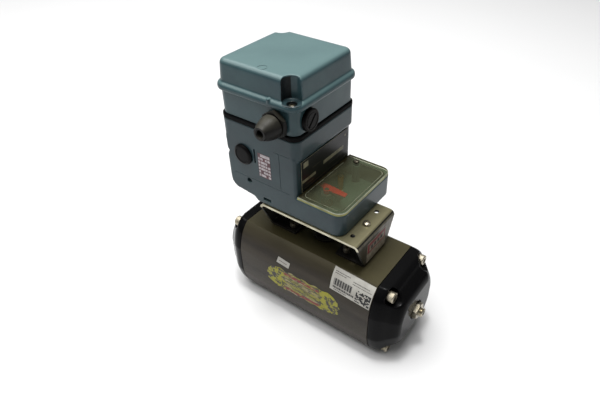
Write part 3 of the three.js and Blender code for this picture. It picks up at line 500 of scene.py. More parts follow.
def sunk(size, laid, x, y, z):
    """A round cutter into a wall at (x, y, z), which faces the way that it is laid."""
    bar = rod(size["radius"], -size["depth"], 2)
    return placed(bar, move_by(x, y, z) @ laid)


def below(size, x=0, y=0):
    """A round cutter into the cylinder's underside."""
    return rod(size["radius"], -HALF_HEIGHT - 1, -HALF_HEIGHT + size["depth"], x, y)


def cylinder():
    """The extruded body with its bore, air ports, screw holes and the socket's recess below."""
    bar = placed(prism(section(), body_low.x, body_high.x), LAID_EAST)
    bore = placed(rod(BORE, -150, 150), LAID_EAST)
    ports = [sunk(AIR_PORT, LAID_NORTH, x, HALF_WIDTH, 0) for x in both(AIR_PORT["x"])]
    screws = [
        sunk(SOLENOID_SCREW, LAID_NORTH, x, HALF_WIDTH, z)
        for x in both(SOLENOID_SCREW["x"]) for z in both(SOLENOID_SCREW["z"])
    ]
    bored = carved(bar, [bore, *ports, *screws])
    corners = both(FLANGE_SCREW["off"])
    flange = [below(FLANGE_SCREW, x, y) for x in corners for y in corners]
    return carved(bored, [below(SOCKET), *flange])


piece("cylinder_look", cylinder(), olive, "anodised_body", stands_for=("cylinder_body",),
      matrix=move_by(0, AXIS_Y, AXIS_Z), bevel=0.5)


def curve_through(rows):
    """Catmull-Rom points between rows of numbers."""
    made, steps = [], 4
    last = len(rows) - 1
    for i in range(last):
        a, b, c, d = rows[max(i - 1, 0)], rows[i], rows[i + 1], rows[min(i + 2, last)]
        for s in range(steps):
            t = s / steps
            made.append([
                0.5 * (2 * q + (r - p) * t + (2 * p - 5 * q + 4 * r - u) * t * t
                       + (3 * q - p - 3 * r + u) * t ** 3)
                for p, q, r, u in zip(a, b, c, d)
            ])
    made.append(rows[last])
    return made


# rows of the cap: out from the body, in from the top and in from the side
DOME = [
    (0.3, 0, 0), (6, 0, 0.4), (10.5, 0.3, 1.6), (14, 1.4, 3.4), (17.8, 5.2, 6),
    (21.4, 10.4, 8.8), (25.4, 15.4, 11.4), (29, 19.6, 14), (32, 24, 17), (33.6, 29, 20.5),
]


def end_cap():
    """A domed cap, with a pocket for each bolt and a recess for the stop screw's nut."""
    rings = []
    for out, up, sideways in curve_through(DOME):
        outline = section(max(sideways, 0), max(up, 0))
        rings.append([(out, y, z) for y, z in outline])
    pockets = [
        placed(rod(POCKET, CAP_SEAT, 60, y, z), LAID_EAST) for y in both(BOLT_Y) for z in both(BOLT_Z)
    ]
    recess = placed(rod(RECESS, RECESS_SEAT, 60), LAID_EAST)
    return cast(carved(skin(rings), [*pockets, recess]), 0.8, 5)


SIDES = {"right": Matrix.Identity(4), "left": turn_by(180)}
END = {
    side: move_by(0, AXIS_Y, AXIS_Z) @ turn @ move_by(body_high.x, 0, 0)
    for side, turn in SIDES.items()
}


def cap_bolt():
    """A socket-head screw with a knurled head, its seat at z = 0."""
    radius, height = 6.6, 8
    head = lathe(
        [(0, 0), (radius - 0.3, 0), (radius, 0.5), (radius, height - 1), (radius - 0.4, height - 0.4),
         (radius - 1, height), (0, height)], 60, 0.22,
    )
    return carved(head, [prism(hexagon(6.4), 3.2, height + 1)])


def threaded(radius, pitch, z0, z1, end):
    """Profile of a screw thread from z0 to z1, then plain to a chamfered end."""
    points = [(0, z0)]
    z = z0
    while z < z1:
        points += [(radius - pitch * 0.55, z), (radius, z + pitch * 0.5)]
        z += pitch
    return points + [(radius - 0.6, z), (radius - 0.6, end - 0.9), (radius - 1.6, end), (0, end)]


def hex_nut(across_flats, z0, z1, bore):
    """A nut with chamfered corners and a plain bore."""
    corner = across_flats / math.sqrt(3)
    flat = across_flats / 2
    rounder = lathe(
        [(0, z0), (flat + 0.3, z0), (corner, z0 + 1.3), (corner, z1 - 1.3), (flat + 0.3, z1), (0, z1)]
    )
    nut = carved(prism(hexagon(across_flats, 30), z0, z1), [rounder], "INTERSECT")
    return carved(nut, [rod(bore, z0 - 1, z1 + 1)])


for side, end in END.items():
    stand_in(f"end_cap_{side}", end_cap(), enamel, "black_enamel", matrix=end, sharp=60)
    number = 1
    for z in (BOLT_Z, -BOLT_Z):
        for y in both(BOLT_Y):
            seat = end @ move_by(CAP_SEAT + 0.3, y, z) @ LAID_EAST
            stand_in(f"cap_bolt_{side}_{number}", cap_bolt(), bright_steel, "bolt_steel",
                     matrix=seat, bevel=0.15)
            number += 1
    tip = box("stop_screw_right")[1].x - body_high.x
    screw = lathe(threaded(STOP_THREAD, 1.75, 12, tip - 1.6, tip))
    screw = carved(screw, [prism(hexagon(6), tip - 4, tip + 1)])
    stand_in(f"stop_screw_{side}", screw, bright_steel, "bolt_steel", matrix=end @ LAID_EAST)
    nut = hex_nut(19, RECESS_SEAT + 0.3, RECESS_SEAT + 10, STOP_THREAD - 0.1)
    stand_in(f"stop_nut_{side}", nut, bright_steel, "bolt_steel", matrix=end @ LAID_EAST, bevel=0.2)


# ---- bracket ----
def bracket():
    """A strip bent into a box that is open below between its two feet."""
    half = (bracket_high.x - bracket_low.x) / 2
    low, high = bracket_low.z, bracket_high.z
    bend, heel, toe = 6, 5, 30
    turns = [(half - heel, low + heel, heel, -90), (half - bend, high - bend, bend, 0),
             (bend - half, high - bend, bend, 90), (heel - half, low + heel, heel, 180)]
    outline = [(toe, low)]
    for x, z, radius, start in turns:
        outline += arc(x, z, radius, start, start + 90)
    outline += [(-toe, low), (-toe, low + SHEET)]
    for x, z, radius, start in reversed(turns):
        outline += arc(x, z, radius - SHEET, start + 90, start)
    outline.append((toe, low + SHEET))
    wide = (bracket_high.y - bracket_low.y) / 2
    strip = placed(prism(outline, -wide, wide), LAID_SOUTH)
    narrow, step, shoulder_down = 24.8, 4, 6
    sides = [(-narrow, low - 1), (narrow, low - 1), (narrow, low + step), (wide, high - shoulder_down),
             (wide, high + 1), (-wide, high + 1), (-wide, high - shoulder_down), (-narrow, low + step)]
    taper = placed(prism(sides, -half - 2, half + 2), LAID_EAST)
    shaped = carved(strip, [taper], "INTERSECT")
    holes = [
        rod(STRIP_HOLE["radius"], high - 8, high + 2, STRIP_HOLE["x"], y)
        for y in both(STRIP_HOLE["y"])
    ]
    shaft_hole = 10
    holes.append(rod(shaft_hole, high - 8, high + 2))

    # 1 is a painted highlight on the strip's cut edges, 2 painted shade on faces inside and under the
    # box
    def zone(face, centre):
        if abs(centre.y) > wide - 0.5:
            return 1
        return 2 if abs(centre.x) < half - 1 and low + 1 < centre.z < high - 1 else 0

    return zoned(carved(shaped, holes), zone)


piece("bracket_look", bracket(), [sheet_steel, sheet_edge_painted_highlight, sheet_painted_shade], "bracket_steel",
      stands_for=("mounting_bracket",), matrix=move_by(0, AXIS_Y, 0), bevel=0.4)


def round_screw(radius, height, slot, cross=False):
    """A pan-head screw's head, its seat at z = 0."""
    head = lathe([(0, 0), (radius, 0), (radius, height * 0.35), (radius * 0.86, height * 0.72),
                  (radius * 0.55, height * 0.95), (0, height)], 40)
    cuts = [block(-radius - 1, radius + 1, -slot / 2, slot / 2, height * 0.5, height + 1)]
    if cross:
        cuts.append(block(-slot / 2, slot / 2, -radius - 1, radius + 1, height * 0.5, height + 1))
    return carved(head, cuts)


for node, turn, cross, steel in (
    ("strip_screw", 30, False, bright_steel), ("window_screw", 20, True, dull_steel),
    ("cover_screw_front", 40, False, dull_steel), ("cover_screw_back", 40, False, dull_steel),
):
    low, high = box(node)
    radius = (high.x - low.x) / 2
    height = radius * 0.68
    place = move_by(middle(node).x, middle(node).y, high.z - height)
    stand_in(node, round_screw(radius, height, 0.9, cross), steel, "bolt_steel",
             matrix=place @ turn_by(turn))

for group in ("bracket_screw", "positioner_screw"):
    for number in (1, 2, 3, 4):
        traced(f"{group}_{number}", bright_steel, "bolt_steel", bevel=0.15)


# ---- positioner housing ----
COLLAR_OUT = 1.2
wall_low, wall_high = box("terminal_box")
BOX_WEST, BOX_EAST = wall_low.x - COLLAR_OUT, wall_high.x + COLLAR_OUT
BOX_SOUTH = wall_low.y - AXIS_Y - COLLAR_OUT
BOX_NORTH = wall_high.y - AXIS_Y + COLLAR_OUT
BOX_LOW, BOX_HIGH = (BOX_WEST, BOX_SOUTH), (BOX_EAST, BOX_NORTH)
housing_high = box("positioner_housing")[1]
cover_low, cover_high = box("top_cover")
gasket_low, gasket_high = box("box_gasket")
COLLAR_TOP = housing_high.z - PLATE
COLLAR_BOTTOM = 77.6
COLUMN_LOW, COLUMN_HIGH = (-116.2, -38.5), (-14.1, 69)
FOOT_LOW, FOOT_HIGH = (-73.4, -38.5), (housing_high.x, 70.3)
FOOT_TOP = 28.6
WALL = 4.5
BOX_CORNER = 12
SIDE_PLUG_HOLE = {"radius": 10, "depth": 12}
DRAIN = {"radius": 3.6, "depth": 7, "x": -84.2, "z": 26.3}
POSITIONER_PORT = {"radius": 6, "depth": 8, "z": 42.5, "y": (0, 32)}
# faint moulding lines on the south wall: from, to, low and high
PARTING_LINES = [(-106, -24, 30.8, 31.3), (-43, -21, 80, 80.5), (-36.5, -36, 33, 80)]
# the slot under the foot's end and the one beside the plug: west, east, south, north, low and high
SLOTS = [(-64.6, -53, -39.5, -33, 5.6, 10.2), (-73, -70.8, -39.5, -34.6, 55, 74)]


def housing():
    """The casting: a column with a collar and a foot, hollow, with its holes and moulding lines."""
    east = COLUMN_HIGH[0]
    outline = [(east, 0.3), (east, COLLAR_BOTTOM + 2), (-114.3, COLLAR_BOTTOM + 2), (-114.3, 62),
               (-111.4, 58.4), (-116.2, 51), (-116.2, 33), (-115.8, 24), (-113.6, 16),
               (-110.4, 11.4), (-106.5, 8.6), (-79.6, 5.5), (-73.4, 0.3)]
    outline.reverse()
    column = placed(prism(outline, -COLUMN_HIGH[1], -COLUMN_LOW[1]), LAID_SOUTH)
    upright = rounded_rectangle(COLUMN_LOW, COLUMN_HIGH, 4)
    column = carved(column, [prism(upright, -5, COLLAR_BOTTOM + 5)], "INTERSECT")
    flared = rounded_rectangle(BOX_LOW, BOX_HIGH, 9.5)
    levels = [(COLLAR_BOTTOM - 4, upright), (COLLAR_BOTTOM, flared), (COLLAR_TOP, flared)]
    collar = stacked(levels)
    foot = prism(rounded_rectangle(FOOT_LOW, FOOT_HIGH, 12), 0.3, FOOT_TOP)
    shell = carved(column, [collar, foot], "UNION")
    chamber_low = (COLUMN_LOW[0] + 9, COLUMN_LOW[1] + WALL)
    chamber_high = (COLUMN_HIGH[0] - WALL, COLUMN_HIGH[1] - WALL)
    foot_chamber_low = (-68, FOOT_LOW[1] + WALL)
    foot_chamber_high = (FOOT_HIGH[0] - WALL, FOOT_HIGH[1] - WALL)
    rooms = [
        prism(rounded_rectangle(foot_chamber_low, foot_chamber_high, 7.5), WALL, FOOT_TOP - 2),
        prism(rounded_rectangle((east, foot_chamber_low[1]), foot_chamber_high, 7.5), 20, 40),
        prism(rounded_rectangle(chamber_low, chamber_high, 5), 14, COLLAR_TOP + 1),
    ]
    for room in rooms:
        shell = carved(shell, [room])
    plug = middle("side_plug")
    cuts = [sunk(SIDE_PLUG_HOLE, LAID_SOUTH, plug.x, COLUMN_LOW[1], plug.z - PLATE)]
    for y in POSITIONER_PORT["y"]:
        port = rod(POSITIONER_PORT["radius"], -1, POSITIONER_PORT["depth"])
        cuts.append(placed(port, move_by(COLUMN_LOW[0], y, POSITIONER_PORT["z"]) @ LAID_EAST))
    shell = carved(shell, cuts)
    x, y = middle("window_screw").x, middle("window_screw").y - AXIS_Y
    boss = carved(rod(5, 0.3, FOOT_TOP, x, y), [rod(2.3, 15, 40, x, y)])
    soft = cast(carved(shell, [boss], "UNION"), 0.85, 3)
    face = COLUMN_LOW[1]
    lines = [block(x0, x1, face - 0.4, face + 0.3, z0, z1) for x0, x1, z0, z1 in PARTING_LINES]
    lines.append(sunk(DRAIN, LAID_SOUTH, DRAIN["x"], face, DRAIN["z"]))
    lines += [block(*slot) for slot in SLOTS]
    return carved(soft, lines)


# the housing takes the darker copy of the teal paint as painted shade
piece("housing_look", housing(), teal_paint_shaded, "teal_paint", stands_for=("positioner_housing",),
      matrix=ON_PLATE, sharp=60)


def ring_loft(levels, corner, low=BOX_LOW, high=BOX_HIGH):
    """A solid through rounded rectangles, given as (height, how far out) levels."""
    return stacked([(z, rounded_rectangle(low, high, corner, out)) for z, out in levels])


def terminal_box():
    """The box over the gasket, open at the top."""
    bottom, top, out = wall_low.z - PLATE, wall_high.z - PLATE, -COLLAR_OUT
    levels = [(bottom, out - 0.5), (bottom + 0.5, out), (top - 0.4, out), (top, out - 0.3)]
    shell = ring_loft(levels, BOX_CORNER)
    room = ring_loft([(bottom + 3, out - WALL), (top + 1, out - WALL)], BOX_CORNER)
    return carved(shell, [room])


stand_in("terminal_box", terminal_box(), teal, "teal_paint", matrix=ON_PLATE)


def gasket():
    """A ring with round outer edges, between the collar and the box."""
    bottom, top = gasket_low.z - PLATE, gasket_high.z - PLATE
    levels = [(bottom, 0), (bottom + 0.9, 0.7), (top - 0.9, 0.7), (top, 0)]
    outer = ring_loft(levels, 11)
    inner = ring_loft([(bottom - 1, -6), (top + 1, -6)], 11)
    return carved(outer, [inner])


piece("gasket_look", gasket(), rubber, "black_rubber", stands_for=("box_gasket",), matrix=ON_PLATE)


WELL, SCREW_POCKET, SLEEVE = 10.3, 5.4, 13.3
MARK = (-59.8, -26.6)
NUB_X = -43.4


def top_cover():
    """The cover with its rim, a well for each of its two screws, a nub and a round moulding mark."""
    base, top = cover_low.z - PLATE, cover_high.z - PLATE
    rim = base + 8.1
    levels = [
        (base, 1.6), (base + 0.7, 2.5), (base + 2, 3), (rim - 3.4, 2.8), (rim - 1.6, 2),
        (rim - 0.4, 0.6), (rim + 0.2, -0.6), (rim + 1.2, -1.2), (top - 6.4, -2.6), (top - 4, -3),
        (top - 2.2, -4), (top - 0.9, -5.6), (top - 0.2, -7.6), (top, -9.6),
    ]
    outer = ring_loft(levels, BOX_CORNER)
    inside = [(base - 1, -5.2), (rim, -5.2), (top - 8, -6), (top - 3.5, -9)]
    inner = ring_loft(inside, BOX_CORNER)
    wells, sleeves, screw_axes = [], [], []
    for node, side in (("cover_screw_front", 1), ("cover_screw_back", -1)):
        x, y = middle(node).x, middle(node).y - AXIS_Y
        screw_axes.append((x, y))
        x0, x1 = sorted((x, x + side * 30))
        y0, y1 = sorted((y, y - side * 30))
        wells += [rod(WELL, rim - 0.6, top + 5, x, y), block(x0, x1, y0, y1, rim - 0.6, top + 5)]
        lip = ring_loft([(base + 3.6, -0.5), (rim + 1, -0.5)], BOX_CORNER)
        wells.append(carved(rod(SCREW_POCKET, base + 3.6, rim + 1, x, y), [lip], "INTERSECT"))
        sleeves.append(rod(SLEEVE, base - 5, top + 5, x, y))
        wall = SLEEVE - WELL
        sleeves.append(block(x0 - wall, x1 + wall, y0 - wall, y1 + wall, base - 5, top + 5))
    room = carved(inner, sleeves)
    shell = carved(carved(outer, [room]), wells)
    nub = rod(2, rim - 4, rim + 1, NUB_X, BOX_SOUTH - 1.3)
    soft = cast(carved(shell, [nub], "UNION"), 0.75, 5)
    groove = carved(rod(5.2, top - 0.35, top + 1, *MARK), [rod(4.5, top - 2, top + 2, *MARK)])

    def zone(face, centre):
        """0 is paint, 1 painted shade on a well's wall and in its pocket, 2 lighter painted shade on
        the well's floor.
        """
        found = 0
        for x, y in screw_axes:
            away = Vector((centre.x - x, centre.y - y, 0))
            inward = face.normal.dot(away) < 0
            on_wall = rim + 0.8 < centre.z < top - 1.6 and away.length < WELL + 1.1
            if on_wall and inward and abs(face.normal.x) > 0.62:
                found = 1
            if base + 3 < centre.z < rim + 0.8 and (inward or face.normal.z > 0.5):
                if away.length < SCREW_POCKET + 0.3:
                    found = 1
                elif away.length < WELL - 0.1:
                    found = 2
        return found

    return zoned(carved(soft, [groove]), zone)


# the cover's screw wells take two materials of painted shade
piece("cover_look", top_cover(), [teal, well_painted_shade, well_floor_painted_shade], "teal_paint",
      stands_for=("top_cover",), matrix=ON_PLATE, sharp=60)


# ---- window, pointer and what turns under it ----
PANEL_LOW, PANEL_HIGH, PANEL_CORNER = (-9.5, -31.5), (41, 59.5), 6


def window():
    """The plate over the foot: round corners on the outside, straight where it meets the column.

    A groove runs round its panel and stops at the screw."""
    low, high = box("window_cover")
    bottom, top = low.z - PLATE, high.z - PLATE
    edge_low, edge_high = (COLUMN_LOW[0], FOOT_LOW[1] + 0.3), (high.x, FOOT_HIGH[1] - 0.3)
    levels = [(bottom, -0.2), (bottom + 0.2, 0), (top - 0.8, 0), (top - 0.2, -0.35), (top, -1)]
    plate = ring_loft(levels, 11.7, edge_low, edge_high)
    plate = carved(plate, [block(low.x, 60, -60, 90, 0, 60)], "INTERSECT")
    groove = carved(
        prism(rounded_rectangle(PANEL_LOW, PANEL_HIGH, PANEL_CORNER, 0.9), top - 0.6, top + 1),
        [prism(rounded_rectangle(PANEL_LOW, PANEL_HIGH, PANEL_CORNER), top - 2, top + 2),
         block(-30, 10, 50, 70, top - 2, top + 2)],
    )

    def zone(face, centre):
        if top - 0.65 < centre.z < top - 0.05:
            return 2
        return 1 if abs(face.normal.z) < 0.95 else 0

    return zoned(carved(plate, [groove]), zone)


piece("window_look", window(), [window_clear, edge_yellow, groove_pale], "clear_window",
      stands_for=("window_cover",), matrix=ON_PLATE)


def pointer():
    """A flat blade on a hub, with a broad tail."""
    low, high = box("pointer")
    top = high.z - PLATE
    outline = [(-15.6, 9.4), (-13.2, 2.4), (-6.6, 0.4), (9.7, -1.2), (25.6, -0.4), (24.4, 6.2),
               (0.2, 8.6)]
    outline.reverse()
    blade = prism(outline, top - 1.5, top)
    hub = rod(4.2, low.z - PLATE, top)
    return carved(carved(blade, [hub], "UNION"), [rod(2.8, 0, 60)])


stand_in("pointer", pointer(), red_plastic, "red_plastic", body="shaft", matrix=ON_PLATE, bevel=0.25)
for node, material, slot, body in (
    ("feedback_shaft", bright_steel, "bolt_steel", "shaft"),
    ("feedback_cam", aluminium, "cast_aluminium", "shaft"),
    ("drive_coupling", black_plastic, "black_plastic", "shaft"),
    ("follower_lever", brass, "brass", "lever"),
    ("cam_roller", white_plastic, "white_plastic", "lever"),
    ("lever_post", bright_steel, "bolt_steel", "housing"),
):
    traced(node, material, slot, body, bevel=0.2)


# ---- gland and plugs ----
GLAND_FLATS, GLAND_BORE = 28, 6


def gland_body():
    """A hexagon with a flange and a threaded stub on each side, bored through."""
    hexed = hex_nut(GLAND_FLATS, 2.4, 8.2, GLAND_BORE)
    turned = [(0, -6), (9.7, -6), (9.7, 0.3), (11, 0.3), (11, 3), (9, 3), (9, 15), (0, 15)]
    rest = carved(lathe(turned), [rod(GLAND_BORE, -10, 20)])
    return carved(hexed, [rest], "UNION")


def gland_nut():
    """The domed nut that closes on the seal."""
    dome = lathe([(0, 8.5), (12.4, 8.5), (12.9, 9.1), (12.9, 14.2), (12.5, 15.6), (10.8, 21.2),
                  (9.6, 24), (8.4, 25.7), (7.9, 27.6), (7.3, 28.7), (5.6, 28.7), (0, 28.7)], 64)
    nut = carved(dome, [prism(hexagon(24.6), 0, 40)], "INTERSECT")
    bored = [(0, 6), (9.3, 6), (9.3, 20.5), (4.2, 22), (4.2, 27.6), (5.4, 29), (5.4, 32), (0, 32)]
    return carved(nut, [lathe(bored)])


centre = middle("gland_nut")
place = move_by(centre.x, wall_low.y, centre.z) @ LAID_SOUTH
stand_in("gland_body", gland_body(), gland_plastic, "grey_plastic", matrix=place, bevel=0.3)
stand_in("gland_nut", gland_nut(), grey_plastic, "grey_plastic", matrix=place, bevel=0.3)


def blanking_plug():
    """A round plug with a raised rim and a slot at 45 degrees."""
    low, high = box("blanking_plug")
    radius = (high.z - low.z) / 2
    disc = lathe([(0, -6), (8.3, -6), (8.3, 0.3), (radius, 0.3), (radius, 4), (radius - 0.5, 4.7),
                  (radius - 1.3, 5), (radius - 2.6, 5), (radius - 2.9, 4.5), (radius - 4, 4.5),
                  (radius - 4.3, 4.9), (0, 4.9)], 56)
    slot = placed(block(-8.5, 8.5, -1.3, 1.3, 2.6, 7), turn_by(45))
    return carved(disc, [slot])


centre = middle("blanking_plug")
place = move_by(wall_high.x, centre.y, centre.z) @ LAID_EAST
stand_in("blanking_plug", blanking_plug(), black_plastic, "black_plastic", matrix=place, bevel=0.2)
centre = middle("side_plug")
side_plug = lathe([(0, -7), (9.2, -7), (9.2, 0.3), (12.8, 0.3), (12.8, 1.8), (12.2, 2.7), (10.6, 3.5),
                   (9.4, 3.6), (9.1, 3.1), (0, 3.4)], 56)
place = move_by(centre.x, COLUMN_LOW[1] + AXIS_Y, centre.z) @ LAID_SOUTH
stand_in("side_plug", side_plug, black_plastic, "black_plastic", matrix=place)


# ---- labels ----
def shoulder():
    """The cylinder's south outline from mid-height up to the flat top: (distance, y, z) steps."""
    bow = [p for p in section(steps=24) if p[0] < 0 and p[1] > 0]
    path = [(-HALF_WIDTH, 0), *sorted(bow, key=lambda p: p[1])]
    steps, run = [(0, *path[0])], 0
    for a, b in zip(path, path[1:]):
        run += math.dist(a, b)
        steps.append((run, *b))
    return steps


SHOULDER = shoulder()


def round_to(z):
    """Distance round the outline from mid-height to a height over the base."""
    up = z - AXIS_Z
    if up <= 0:
        return up
    for (s0, _, z0), (s1, _, z1) in zip(SHOULDER, SHOULDER[1:]):
        if z1 >= up:
            return s0 + (s1 - s0) * (up - z0) / max(z1 - z0, 1e-6)
    return SHOULDER[-1][0]


def on_cylinder(x, run, lift=LABEL_LIFT):
    """A point just off the cylinder's south side, at x and at a distance round the outline."""
    if run <= 0:
        return Vector((x, AXIS_Y - HALF_WIDTH - lift, AXIS_Z + run))
    run = min(run, SHOULDER[-1][0])
    for (s0, y0, z0), (s1, y1, z1) in zip(SHOULDER, SHOULDER[1:]):
        if s1 >= run:
            break
    t = (run - s0) / (s1 - s0)
    out = Vector((0, z0 - z1, y1 - y0)).normalized() * lift
    return Vector((x, AXIS_Y + y0 + (y1 - y0) * t, AXIS_Z + z0 + (z1 - z0) * t)) + out


def grid(columns, rows, point):
    """An open mesh of columns by rows faces through point(u, v), with u and v from 0 to 1."""
    bm = bmesh.new()
    lines = [
        [bm.verts.new(point(i / columns, j / rows)) for i in range(columns + 1)]
        for j in range(rows + 1)
    ]
    for low_line, high_line in zip(lines, lines[1:]):
        for i in range(columns):
            bm.faces.new((low_line[i], low_line[i + 1], high_line[i + 1], high_line[i]))
    return bm


def patch(corners, columns, rows, point, margin=(0, 1, 0, 1)):
    """A grid between four corners (left low, right low, right high, left high), laid on a surface."""
    (ax, az), (bx, bz), (cx, cz), (dx, dz) = corners
    u0, u1, v0, v1 = margin

    def at(i, j):
        u, v = u0 + (u1 - u0) * i, v0 + (v1 - v0) * j
        x = (1 - v) * ((1 - u) * ax + u * bx) + v * ((1 - u) * dx + u * cx)
        z = (1 - v) * ((1 - u) * az + u * bz) + v * ((1 - u) * dz + u * cz)
        return point(x, z)

    return grid(columns, rows, at)


def joined(parts):
    """Several open meshes as one, each with its own material index."""
    whole = bmesh.new()
    for index, part in parts:
        for face in part.faces:
            face.material_index = index
        mesh = filled("part", part)
        whole.from_mesh(mesh)
        bpy.data.meshes.remove(mesh)
    return whole


def round_corners(*corners):
    """Label corners given as (x, height over the base), as (x, distance round the outline)."""
    return [(x, round_to(z)) for x, z in corners]


BARCODE = round_corners((41.8, 87.5), (96.0, 84.8), (96.6, 110.3), (40.7, 111.5))
SMALL = round_corners((-37.8, 85.4), (-18.9, 83.9), (-17.7, 91.6), (-36.2, 93.5))


def over_label(x, run):
    return on_cylinder(x, run, 2 * LABEL_LIFT)


# broken rules on the barcode label: how far up, how high, from and to across
RULES = [(0.83, 0.03, 0.05, 0.42), (0.75, 0.03, 0.05, 0.3), (0.75, 0.03, 0.5, 0.9),
         (0.66, 0.025, 0.5, 0.95), (0.14, 0.085, 0.07, 0.57), (0.06, 0.03, 0.1, 0.4)]


def barcode_label():
    """A white label with bars, a square code of random cells and broken rules. It carries no words."""
    parts = [(0, patch(BARCODE, 30, 16, on_cylinder))]

    def ink(u0, u1, v0, v1, rows=1):
        parts.append((1, patch(BARCODE, 1, rows, over_label, (u0, u1, v0, v1))))

    start, bar, gap = 0.07, 0.008, 0.0045
    for i in range(44):
        black = i % 2 == 0
        step = (1 + (i * 7 + i * i) % 3) * (bar if black else gap)
        if black:
            ink(start, start + step, 0.27, 0.56, 4)
        start += step
    cells, wide, high = 11, 0.032, 0.045
    for row in range(cells):
        for column in range(cells):
            if math.sin(row * 12.9 + column * 78.2) * 43758.5 % 1 < 0.55:
                u, v = 0.63 + column * wide, 0.05 + row * high
                ink(u, u + wide, v, v + high)
    for v, height, u, end in RULES:
        i = 0
        while u < end:
            length = 0.012 + 0.02 * ((i * 5 + 2) % 4) / 3
            ink(u, u + length, v, v + height)
            u += length + 0.009
            i += 1
    return joined(parts)


piece("barcode_label", barcode_label(), [paper, print_black], "plate_print")
small_label = joined([(0, patch(SMALL, 8, 4, on_cylinder)),
                      (1, patch(SMALL, 6, 1, over_label, (0.15, 0.8, 0.45, 0.53)))])
piece("small_label", small_label, [paper, print_black], "plate_print")


def worn_label_material():
    """A worn label: yellow blotches at the ends, broken pale rows between them and two red bars."""
    g = Graph("worn_label")
    split = g.node("ShaderNodeSeparateXYZ", Vector=g.place)
    ragged = g.noise(140, 6.0, roughness=0.7)
    ground = g.mix(g.noise(60, 3.0), shade("#39332a"), shade("#2c2720"))
    blotches = g.spread(g.noise(150, 6.0, roughness=0.6), 0.46, 0.51)
    yellow = g.mix(blotches, ground, g.mix(g.noise(400), shade("#a6a10a"), shade("#7a770c")))
    rows = g.spread(g.noise(90, 5.0, (1.2, 1, 5.5), 0.7), 0.44, 0.52)
    tints = g.spread(g.noise(60, 3.0, (0.6, 1, 4)), 0.42, 0.56)
    pale = g.mix(tints, shade("#96896a"), shade("#858118"))
    words = g.mix(rows, ground, pale)
    from_centre = g.maths("ABSOLUTE", g.maths("SUBTRACT", split.outputs["X"], 0.0015), 0.0)
    end = g.spread(g.maths("ADD", from_centre, g.maths("MULTIPLY", ragged, 0.03)), 0.038, 0.044)
    colours = g.mix(end, words, yellow)
    bands = []
    for height, depth in ((0.0735, 0.003), (0.0485, 0.0031)):
        off = g.maths("ABSOLUTE", g.maths("SUBTRACT", split.outputs["Z"], height), 0.0)
        off = g.maths("ADD", off, g.maths("MULTIPLY", ragged, 0.003))
        bands.append(g.spread(off, depth, depth + 0.0008, 1.0, 0.0))
    inside = g.spread(from_centre, 0.025, 0.029, 1.0, 0.0)
    red = g.maths("MULTIPLY", g.maths("MAXIMUM", bands[0], bands[1]), inside)
    broken = g.maths("MULTIPLY", red, g.spread(g.noise(420, 4.0, (0.5, 1, 1)), 0.38, 0.46))
    colours = g.mix(broken, colours, shade("#7a1f1a"))
    g.surface(Base_Color=colours, Roughness=g.spread(ragged, 0.3, 0.7, 0.4, 0.6))
    g.bump(ragged, 0.00004)
    return g.material


def worn_label():
    """An elongated label with ragged round ends."""
    low_z, high_z, west, east = 44.5, 78.5, -52.5, 57

    def at(u, v):
        bulge = math.sqrt(max(0.0, 1 - (2 * v - 1) ** 2))
        ragged = 1.6 * math.sin(7.1 * v * math.pi) + 1.1 * math.sin(17 * v + 1)
        x0, x1 = west + 15 * (1 - bulge) + ragged, east - 13 * (1 - bulge) - ragged
        x = x0 + (x1 - x0) * u
        wave = 0.9 * math.sin(0.35 * x) if v in (0, 1) else 0
        return on_cylinder(x, round_to(low_z + (high_z - low_z) * v + wave))

    return grid(60, 14, at)


piece("worn_label", worn_label(), worn_label_material(), "plate_print")


def lifted(point, x, y, z):
    """The same points, a little off their surface."""
    return lambda across, up: point(across, up) + Vector((x, y, z))


def flat_point(plane, axis):
    """Points on an upright plane: across and up, lifted clear of it."""
    if axis == "x":
        return lambda across, up: Vector((plane + LABEL_LIFT, AXIS_Y + across, PLATE + up))
    return lambda across, up: Vector((across, AXIS_Y + plane - LABEL_LIFT, PLATE + up))


def rectangle(left, right, low, high):
    """The four corners that a patch takes."""
    return [(left, low), (right, low), (right, high), (left, high)]


low, high = box("nameplate")
plate_bm = block(low.x, high.x, low.y, high.y, low.z, high.z)
# the nameplate's bevelled edges take the cream as a painted highlight
stand_in("nameplate", plate_bm, [plate_black, cream], "plate_print", bevel=0.35, worn_edges=True)
on_nameplate = flat_point(high.x, "x")
on_south = flat_point(COLUMN_LOW[1], "y")
on_leg = flat_point(bracket_high.x, "x")
# fields of the nameplate: south, north, low and high
FIELDS = [(-26, -17, 63.5, 70.5), (11.5, 53, 49.2, 54.2), (-29, -3.5, 44.8, 48.6),
          (55, 57.5, 65, 67.5)]
FAINT_FIELDS = [(-26, 60, 36, 37.3), (-22, -8, 39.5, 41.5), (22, 50, 43.5, 44.6), (-10, 6, 56, 57)]
fields = joined([
    (index, patch(rectangle(*field), 1, 1, on_nameplate))
    for index, group in enumerate((FIELDS, FAINT_FIELDS)) for field in group
])
piece("nameplate_fields", fields, [cream, plate_faint], "plate_print")


def column_label():
    """A small table: pale cells in rows on a dull red ground."""
    corners = rectangle(-67.2, -49.4, 40.1, 71.6)
    near = lifted(on_south, 0, -0.06, 0)
    parts = [(0, patch(corners, 2, 2, on_south))]
    for row in range(7):
        v = 0.03 + row * 0.139
        height = 0.115 if row == 6 else 0.095
        for k in range(5):
            u = 0.03 + k * 0.19
            width = 0.19 if row == 6 else 0.14 + 0.05 * ((row * 3 + k * 5) % 3) / 2
            if (row * 2 + k) % 9 != 3:
                parts.append((1, patch(corners, 1, 1, near, (u, u + width, v, v + height))))
    return joined(parts)


piece("column_label", column_label(), [label_plum, label_pale], "plate_print")


